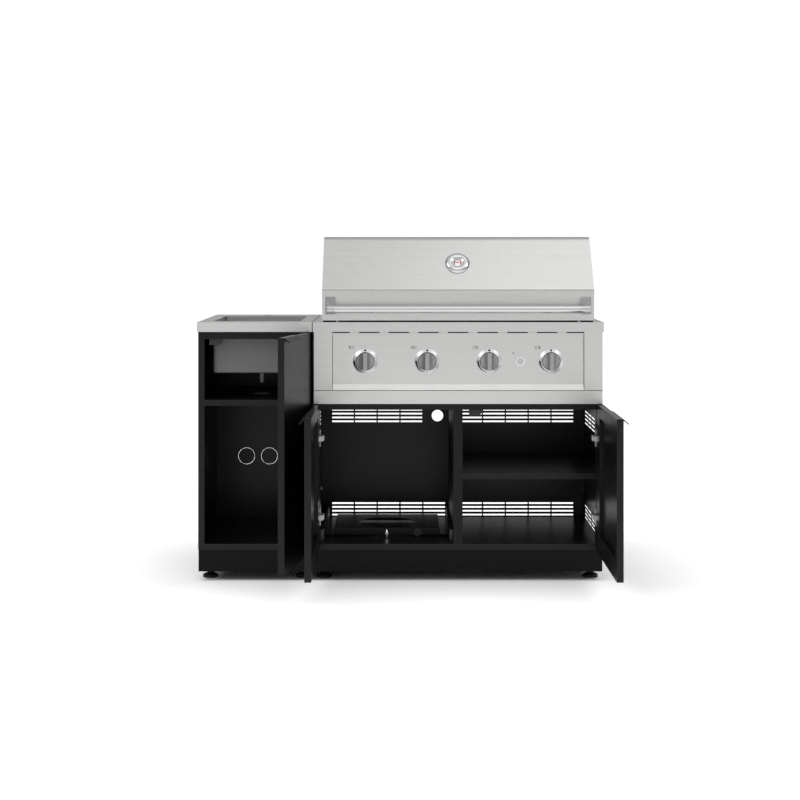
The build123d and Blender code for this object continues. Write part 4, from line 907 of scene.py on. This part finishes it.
@dataclass
class ControlPanel:
    """The grill's front, with its knobs and the marks printed round them."""

    knobs: int = 4
    recess: float = 9 * MM
    ink: float = 0.08 * MM
    bezel_r: float = 43.8 * MM
    bezel_top_r: float = 32 * MM
    bezel_h: float = 9 * MM
    off_dot_deg: float = 90.0
    off_dot_r: float = 4.1 * MM
    low_dot_deg: float = 270.0
    low_dot_r: float = 1.5 * MM
    dot_sides: int = 20
    arc_r: float = 39.2 * MM
    arc_deg: Span = (178.0, 258.0)
    arc_half: Span = (2.8 * MM, 0.8 * MM)
    arc_steps: int = 24
    # Size of the dark ring painted as shadow where each knob meets its bezel.
    shade_ring_r: float = 30.4 * MM
    shade_ring_seat_r: float = 31 * MM
    shade_ring_lip_r: float = 32.4 * MM
    shade_ring_foot: float = 2.2 * MM
    shade_ring_lip: float = 0.15 * MM
    shade_ring_sides: int = 60
    icon_offset: Span = (-57 * MM, 42 * MM)
    icon_w: float = 19 * MM
    icon_h: float = 12 * MM
    icon_line: float = 0.5 * MM
    icon_bar_inset: float = 2.4 * MM
    full_bar_share: float = 0.34
    thin_bar_share: float = 0.12
    spark_offset: Span = (-28 * MM, 22 * MM)
    spark_h: float = 12 * MM
    strip_inset: float = 0.8 * MM
    strip_d: float = 5 * MM

    def build(self) -> None:
        """Dress the panel and print its marks."""
        dress(FRONT_STEEL, "control_panel", "apron")
        dress(TOP_STEEL, "grill_rim")
        dress(BLACK_COAT, "grill_casing")
        dress(BEZEL_CHROME, "control_bezels")
        dress(BUTTON_STEEL, "igniter_button")
        soften(Edge.FOLDED, "control_panel", "apron", "grill_rim", "control_bezels")
        marks, icons, shade_rings = MeshMaker(), MeshMaker(), MeshMaker()
        for number in range(1, self.knobs + 1):
            name = f"knob_{number}"
            dress(KNOB_METAL, name)
            soften(Edge.TURNED, name)
            middle, _ = joint_place(f"{name}_turn")
            spot = self.on_panel(middle.x, middle.z)
            self.bezel_marks(marks, spot)
            self.burner_icon(icons, spot, number)
            self.bezel_shade_ring(shade_rings, spot)
        self.spark_icon(icons)
        self.gasket_and_gap_shade()
        marks.piece("bezel_marks", ROOT_BODY, BLACK_INK)
        icons.piece("burner_icons", ROOT_BODY, BLACK_INK)
        # The dark rings in the bezels' mouths are painted shadow.
        shade_rings.piece("bezel_liners", ROOT_BODY, BLACK_PLASTIC)

    def gasket_and_gap_shade(self) -> None:
        """Lay the strip that seals the joint between the grill's front and the apron, black also
        as painted shade in the joint.
        """
        low, high = corners("apron")
        top = corners("control_panel")[0].z - self.ink
        z = high.z + self.ink
        y0 = low.y + self.strip_inset
        outline = Spot(UP * z, RIGHT, BACK).rectangle(
            low.x + self.strip_inset, high.x - self.strip_inset, y0, y0 + self.strip_d
        )
        # A rubber strip, partly painted shade: it darkens the joint, where the shadow falls.
        strip = MeshMaker()
        strip.slab(outline, UP * (top - z))
        strip.piece("head_gasket", ROOT_BODY, BLACK_RUBBER)

    def on_panel(self, x: float, z: float) -> Spot:
        """Give a place on the panel's recessed face, with out towards the front."""
        face = corners("control_panel")[0].y + self.recess
        return Spot(Vector((x, face, z)), RIGHT, UP)

    def on_bezel(self, spot: Spot, radius: float, degrees: float, lift: float = 0.0) -> Vector:
        """Give a point on the bezel's sloping face.

        Args:
            spot: The knob's place.
            radius: Distance from the knob's middle.
            degrees: Angle from the right, turning upwards.
            lift: Height over the bezel's face.

        Returns:
            The point.
        """
        share = (self.bezel_r - radius) / (self.bezel_r - self.bezel_top_r)
        return spot.polar(radius, degrees, share * self.bezel_h + lift)

    def bezel_marks(self, maker: MeshMaker, spot: Spot) -> None:
        """Print the dot for off, the dot for low and the tapered arc from high to low.

        Args:
            maker: The mesh for the marks.
            spot: The knob's place.
        """
        self.bezel_dot(maker, spot, self.off_dot_deg, self.off_dot_r)
        self.bezel_dot(maker, spot, self.low_dot_deg, self.low_dot_r)
        (start, end), (wide, narrow), ink = self.arc_deg, self.arc_half, self.ink
        rings = []
        for i in range(self.arc_steps + 1):
            share = i / self.arc_steps
            angle = start + (end - start) * share
            half = wide + (narrow - wide) * share
            edges = ((-half, -ink), (half, -ink), (half, ink), (-half, ink))
            rings.append([
                self.on_bezel(spot, self.arc_r + off, angle, lift) for off, lift in edges
            ])
        maker.solid(rings)

    def bezel_dot(self, maker: MeshMaker, spot: Spot, degrees: float, radius: float) -> None:
        """Print a dot halfway up the bezel's sloping face.

        Args:
            maker: The mesh for the marks.
            spot: The knob's place.
            degrees: Where on the bezel, as an angle from the right, turning upwards.
            radius: The dot's radius.
        """
        ends = (self.bezel_top_r, self.bezel_r)
        inner, outer = (self.on_bezel(spot, end, degrees) for end in ends)
        along = spot.across if degrees < 180 else -spot.across
        middle = self.on_bezel(spot, sum(ends) / 2, degrees, -self.ink)
        dot = Spot(middle, along, (outer - inner).normalized())
        maker.slab(dot.circle(radius, sides=self.dot_sides), dot.out * 2 * self.ink)

    def bezel_shade_ring(self, maker: MeshMaker, spot: Spot) -> None:
        """Ring a bezel's mouth with a dark ring, clear of the knob, as painted shadow in the gap
        round the knob.

        Args:
            maker: The mesh for the liners.
            spot: The knob's place.
        """
        # Painted shadow: a dark ring where the knob meets its bezel.
        top = self.bezel_h + self.shade_ring_lip
        profile = (
            (self.shade_ring_r, self.shade_ring_foot), (self.shade_ring_seat_r, self.shade_ring_foot),
            (self.shade_ring_seat_r, self.bezel_h), (self.shade_ring_lip_r, self.bezel_h),
            (self.shade_ring_lip_r, top), (self.shade_ring_r, top),
        )
        angles = [360.0 * i / self.shade_ring_sides for i in range(self.shade_ring_sides)]
        maker.solid([[spot.polar(r, angle, z) for r, z in profile] for angle in angles], hoop=True)

    def burner_icon(self, maker: MeshMaker, spot: Spot, number: int) -> None:
        """Print a small plan of the burners, with one of them filled.

        Args:
            maker: The mesh for the icons.
            spot: The knob's place.
            number: Which burner the knob serves.
        """
        line, inset, lift = self.icon_line, self.icon_bar_inset, spot.out * 2 * self.ink
        plan = Spot(spot.point(*self.icon_offset, -self.ink), spot.across, spot.up)
        outer = plan.rectangle(0, self.icon_w, 0, self.icon_h)
        inner = plan.rectangle(line, self.icon_w - line, line, self.icon_h - line)
        maker.solid([[a, b, b + lift, a + lift] for a, b in zip(outer, inner)], hoop=True)
        step = (self.icon_w - 2 * line) / self.knobs
        for i in range(self.knobs):
            middle = line + step * (i + 0.5)
            half = step * (self.full_bar_share if i + 1 == number else self.thin_bar_share)
            bar = plan.rectangle(middle - half, middle + half, inset, self.icon_h - inset)
            maker.slab(bar, lift)

    def spark_icon(self, maker: MeshMaker) -> None:
        """Print a small spark by the igniter.

        Args:
            maker: The mesh for the icons.
        """
        middle = middle_of("igniter_button")
        across, rise = self.spark_offset
        spot = self.on_panel(middle.x + across, middle.z + rise)
        outline = [
            spot.point(x * self.spark_h, y * self.spark_h, -self.ink) for x, y in SPARK_SHAPE
        ]
        maker.slab(outline, spot.out * 2 * self.ink)


@dataclass
class FireBox:
    """What cooks and what feeds it: fire box, burners, gas train, grates and drip tray."""

    grates: str = "cooking_grates"
    valves: str = "gas_valves"

    def build(self) -> None:
        """Dress the cooking parts."""
        dress(FIRE_ENAMEL, "firebox")
        dress(HOT_STEEL, "burners", "flame_tamers")
        dress(GRATE_STEEL, self.grates)
        dress(FRONT_STEEL, "warming_rack")
        dress(ZINC, "drip_tray", "gas_manifold")
        dress(BRASS, self.valves)
        soften(Edge.ROD, self.grates)
        soften(Edge.COATED, self.valves)


@dataclass(frozen=True)
class DialArc:
    """An arc on the dial: its radii as shares of the dial's, and where it runs, in degrees."""

    outer: float
    inner: float
    start: float
    end: float
    steps: int = 24


@dataclass
class Hood:
    """The hood, its handle, its thermometer and the dark strip painted as shade under its front
    edge.
    """

    gap_shade_w: float = 7 * MM
    gap_shade_h: float = 4.8 * MM
    gap_shade_inset: float = 3 * MM
    ink: float = 0.06 * MM
    gauge_h: float = 9 * MM
    dial_sink: float = 3.5 * MM
    dial_r: float = 17.6 * MM
    cool_arc: DialArc = DialArc(0.8, 0.62, 225.0, 70.0)
    hot_arc: DialArc = DialArc(0.8, 0.58, 66.0, -45.0)
    scale_start: float = 225.0
    scale_sweep: float = 270.0
    scale_steps: int = 12
    steps_per_long_tick: int = 3
    tick_outer: float = 0.56
    tick_inner: float = 0.48
    long_tick_inner: float = 0.42
    tick_half_deg: float = 1.5

    def build(self) -> None:
        """Dress the hood, lay the painted shade under its front edge and print the thermometer's
        dial.
        """
        dress(HOOD_STEEL, "hood_skin", "hood_ends")
        # Painted shade: the brackets get a darker copy of the sheet steel.
        dress(SHADED_BRACKET_STEEL, "hood_handle_brackets")
        dress(BAR_STEEL, "hood_handle_bar")
        dress(GAUGE_CHROME, "thermometer_case")
        dress(WHITE_DIAL, "thermometer_dial")
        dress(RED_PAINT, "thermometer_needle")
        dress(LENS_GLASS, "thermometer_lens")
        dress(ZINC, "hood_pivots", "hood_bumpers")
        soften(Edge.COATED, "hood_handle_brackets", "thermometer_case")
        self.gap_shade()
        self.dial_marks()

    def gap_shade(self) -> None:
        """Lay a dark strip on the rim under the hood's front edge, in runs between the bumpers, as
        painted shade in the gap.
        """
        left, right = (corner.x for corner in corners("hood_skin"))
        first, last = corners("hood_bumpers")
        top = corners("grill_rim")[1].z
        bumper = last.y - first.y
        runs = ((left, first.x), (first.x + bumper, last.x - bumper), (last.x, right))
        # Painted shade: a black strip fills the gap under the hood's front edge.
        strip = MeshMaker()
        for start, end in runs:
            strip.solid([
                [
                    Vector((x, first.y + self.gap_shade_w * y, top + self.gap_shade_h * z))
                    for y, z in GAP_SHADE_PROFILE
                ]
                for x in (start + self.gap_shade_inset, end - self.gap_shade_inset)
            ])
        strip.piece("hood_seal", ROOT_BODY, GAP_SHADE_FIBRE)

    def dial_marks(self) -> None:
        """Print the dial's arcs and ticks."""
        middle, axis = joint_place("thermometer_needle_turn")
        out = -axis
        face = middle + out * (self.gauge_h - self.dial_sink - self.ink)
        spot = Spot(face, RIGHT, out.cross(RIGHT))
        black, red = MeshMaker(), MeshMaker()
        self.print_arc(black, spot, self.cool_arc)
        self.print_arc(red, spot, self.hot_arc)
        for i in range(self.scale_steps + 1):
            angle = self.scale_start - self.scale_sweep * i / self.scale_steps
            inner = self.tick_inner if i % self.steps_per_long_tick else self.long_tick_inner
            start, end = angle + self.tick_half_deg, angle - self.tick_half_deg
            self.print_arc(black, spot, DialArc(self.tick_outer, inner, start, end, steps=1))
        black.piece("dial_ticks", HOOD_BODY, BLACK_INK)
        red.piece("dial_hot_band", HOOD_BODY, RED_PAINT)

    def print_arc(self, maker: MeshMaker, spot: Spot, arc: DialArc) -> None:
        """Add an arc to the dial's print.

        Args:
            maker: The mesh for the print.
            spot: The dial's middle.
            arc: The arc.
        """
        top = 2 * self.ink
        edges = ((arc.inner, 0.0), (arc.outer, 0.0), (arc.outer, top), (arc.inner, top))
        rings = []
        for i in range(arc.steps + 1):
            angle = arc.start + (arc.end - arc.start) * i / arc.steps
            rings.append([spot.polar(self.dial_r * share, angle, lift) for share, lift in edges])
        maker.solid(rings)


@dataclass(frozen=True)
class Softbox:
    """One square studio light."""

    name: str
    place: Triple
    aim: Triple
    side: float
    power: float

    def build(self) -> None:
        """Hang the light."""
        data = bpy.data.lights.new(self.name, "AREA")
        data.size = self.side
        data.energy = self.power
        lamp = new_object(self.name, data)
        lamp.location = self.place
        towards = Vector(self.aim) - Vector(self.place)
        lamp.rotation_euler = towards.to_track_quat("-Z", "Y").to_euler()


@dataclass
class Studio:
    """Pale floor, white surround, soft lights, and the camera where the photographer stood."""

    camera_place: Triple = (-0.0106, -5.555, 1.182)
    focal_mm: float = 70.7
    sensor_mm: float = 36.0
    horizon_shift: float = -0.19375
    sight: float = 200.0
    floor_half: float = 30.0
    floor_colour: Triple = (0.93, 0.93, 0.93)
    floor_roughness: float = 0.8
    floor_specular: float = 0.1
    footprint: Span = (0.72, 0.29)
    footprint_y: float = 0.26
    depth_stretch: float = 2.0
    near_span: Span = (-0.08, 0.02)
    glow_near: float = 0.22
    far_span: Span = (0.0, 0.8)
    glow_far: float = 0.52
    backdrop: float = 1.02
    front_to_back: Span = (-0.5, 0.7)
    front_light: float = 0.59
    back_light: float = 0.56
    side_span: Span = (0.4, 0.9)
    side_share: float = 0.6
    top_lean: float = -0.6
    top_span: Span = (0.65, 1.0)
    top_light: float = 0.88
    lights: Sequence[Softbox] = field(default_factory=lambda: (
        Softbox("left_box", (-2.7, -1.2, 3.4), (0.0, 0.0, 0.7), 1.6, 42.0),
        Softbox("right_box", (2.7, -1.2, 3.4), (0.0, 0.0, 0.8), 1.3, 20.0),
        Softbox("top_box", (1.3, -0.9, 3.7), (0.2, 0.0, 0.9), 2.4, 8.0),
        Softbox("front_box", (0.2, -3.1, 4.0), (0.0, 0.0, 0.7), 2.0, 9.0),
    ))

    def build(self) -> None:
        """Set up the studio."""
        bpy.context.scene.view_settings.view_transform = "Standard"
        self.surround()
        self.floor()
        for light in self.lights:
            light.build()
        self.camera()

    def surround(self) -> None:
        """Make a white backdrop, and a room that is brightest above and before the object."""
        world = bpy.data.worlds.new("studio_surround")
        world.use_nodes = True
        graph = NodeGraph(world.node_tree)
        towards = graph.parts(graph.node("ShaderNodeTexCoord").outputs["Generated"])
        lights = (self.front_light, self.back_light)
        level = graph.ramp(towards["Y"], self.front_to_back, lights)
        sideways = graph.math("ABSOLUTE", towards["X"])
        dim = graph.ramp(sideways, self.side_span, (1.0, self.side_share))
        around = graph.math("MULTIPLY", level, dim)
        overhead = graph.math("MULTIPLY_ADD", towards["Y"], self.top_lean, towards["Z"])
        strength = graph.ramp(overhead, self.top_span, (around, self.top_light))
        room = graph.tree.nodes["Background"]
        graph.give(room, Color=WHITE, Strength=strength)
        backdrop = graph.node("ShaderNodeBackground", Color=WHITE, Strength=self.backdrop)
        seen = graph.node("ShaderNodeLightPath").outputs["Is Camera Ray"]
        skies = (seen, room.outputs["Background"], backdrop.outputs["Background"])
        mix = graph.node("ShaderNodeMixShader")
        for value, socket in zip(skies, mix.inputs):
            graph.join(value, socket)
        graph.give(graph.tree.nodes["World Output"], Surface=mix.outputs["Shader"])
        bpy.context.scene.world = world

    def floor(self) -> None:
        """Lay the floor, which glows softly away from the object: painted light, kept low round
        the cabinets so that the floor there is their painted shadow.
        """
        half = self.floor_half
        data = bpy.data.meshes.new("studio_floor")
        square = Spot(Vector(), RIGHT, BACK).rectangle(-half, half, -half, half)
        data.from_pydata(square, [], [(0, 1, 2, 3)])
        paper = ShaderGraph("studio_paper")
        away = self.away_from_object(paper)
        # Painted light: the floor's glow rises with distance from the cabinets, leaving a painted
        # shadow round them.
        near = paper.ramp(away, self.near_span, (0.0, self.glow_near))
        far = paper.ramp(away, self.far_span, (0.0, self.glow_far - self.glow_near))
        paper.feed(
            Base_Color=(*self.floor_colour, 1.0), Roughness=self.floor_roughness,
            Specular_IOR_Level=self.floor_specular, Emission_Color=WHITE,
            Emission_Strength=paper.math("ADD", near, far),
        )
        data.materials.append(paper.material)
        new_object("studio_floor", data)

    def away_from_object(self, paper: ShaderGraph) -> Socket:
        """Give the distance from the cabinets' footprint, less than nothing inside it.

        Args:
            paper: The floor's nodes.

        Returns:
            The socket that carries the distance in metres, stretched to the front and the back.
        """
        where = paper.vector("SUBTRACT", paper.place(), (0.0, self.footprint_y, 0.0))
        past = paper.vector("SUBTRACT", paper.vector("ABSOLUTE", where), (*self.footprint, 0.0))
        past = paper.vector("MULTIPLY", past, (1.0, self.depth_stretch, 0.0))
        outside = paper.vector("LENGTH", paper.vector("MAXIMUM", past, (0.0, 0.0, 0.0)))
        parts = paper.parts(past)
        inside = paper.math("MINIMUM", paper.math("MAXIMUM", parts["X"], parts["Y"]), 0.0)
        return paper.math("ADD", outside, inside)

    def camera(self) -> None:
        """Stand the camera level, with the picture shifted down to the object."""
        data = bpy.data.cameras.new("photo_camera")
        data.lens = self.focal_mm
        data.sensor_width = self.sensor_mm
        data.shift_y = self.horizon_shift
        data.clip_end = self.sight
        camera = new_object("photo_camera", data)
        camera.location = self.camera_place
        camera.rotation_euler = (math.radians(90), 0.0, 0.0)
        bpy.context.scene.camera = camera


def main() -> None:
    """Build the sub-assemblies in order, then the studio."""
    logging.basicConfig(level=logging.INFO, format="%(name)s: %(message)s")
    assemblies = [
        Cabinets(), Door("sink_door"), Door("left_door"), Door("right_door"), Hinges(), SinkTop(),
        TankTray(), ControlPanel(), FireBox(), Hood(), Studio(),
    ]
    for assembly in assemblies:
        assembly.build()


if __name__ == "__main__":
    main()
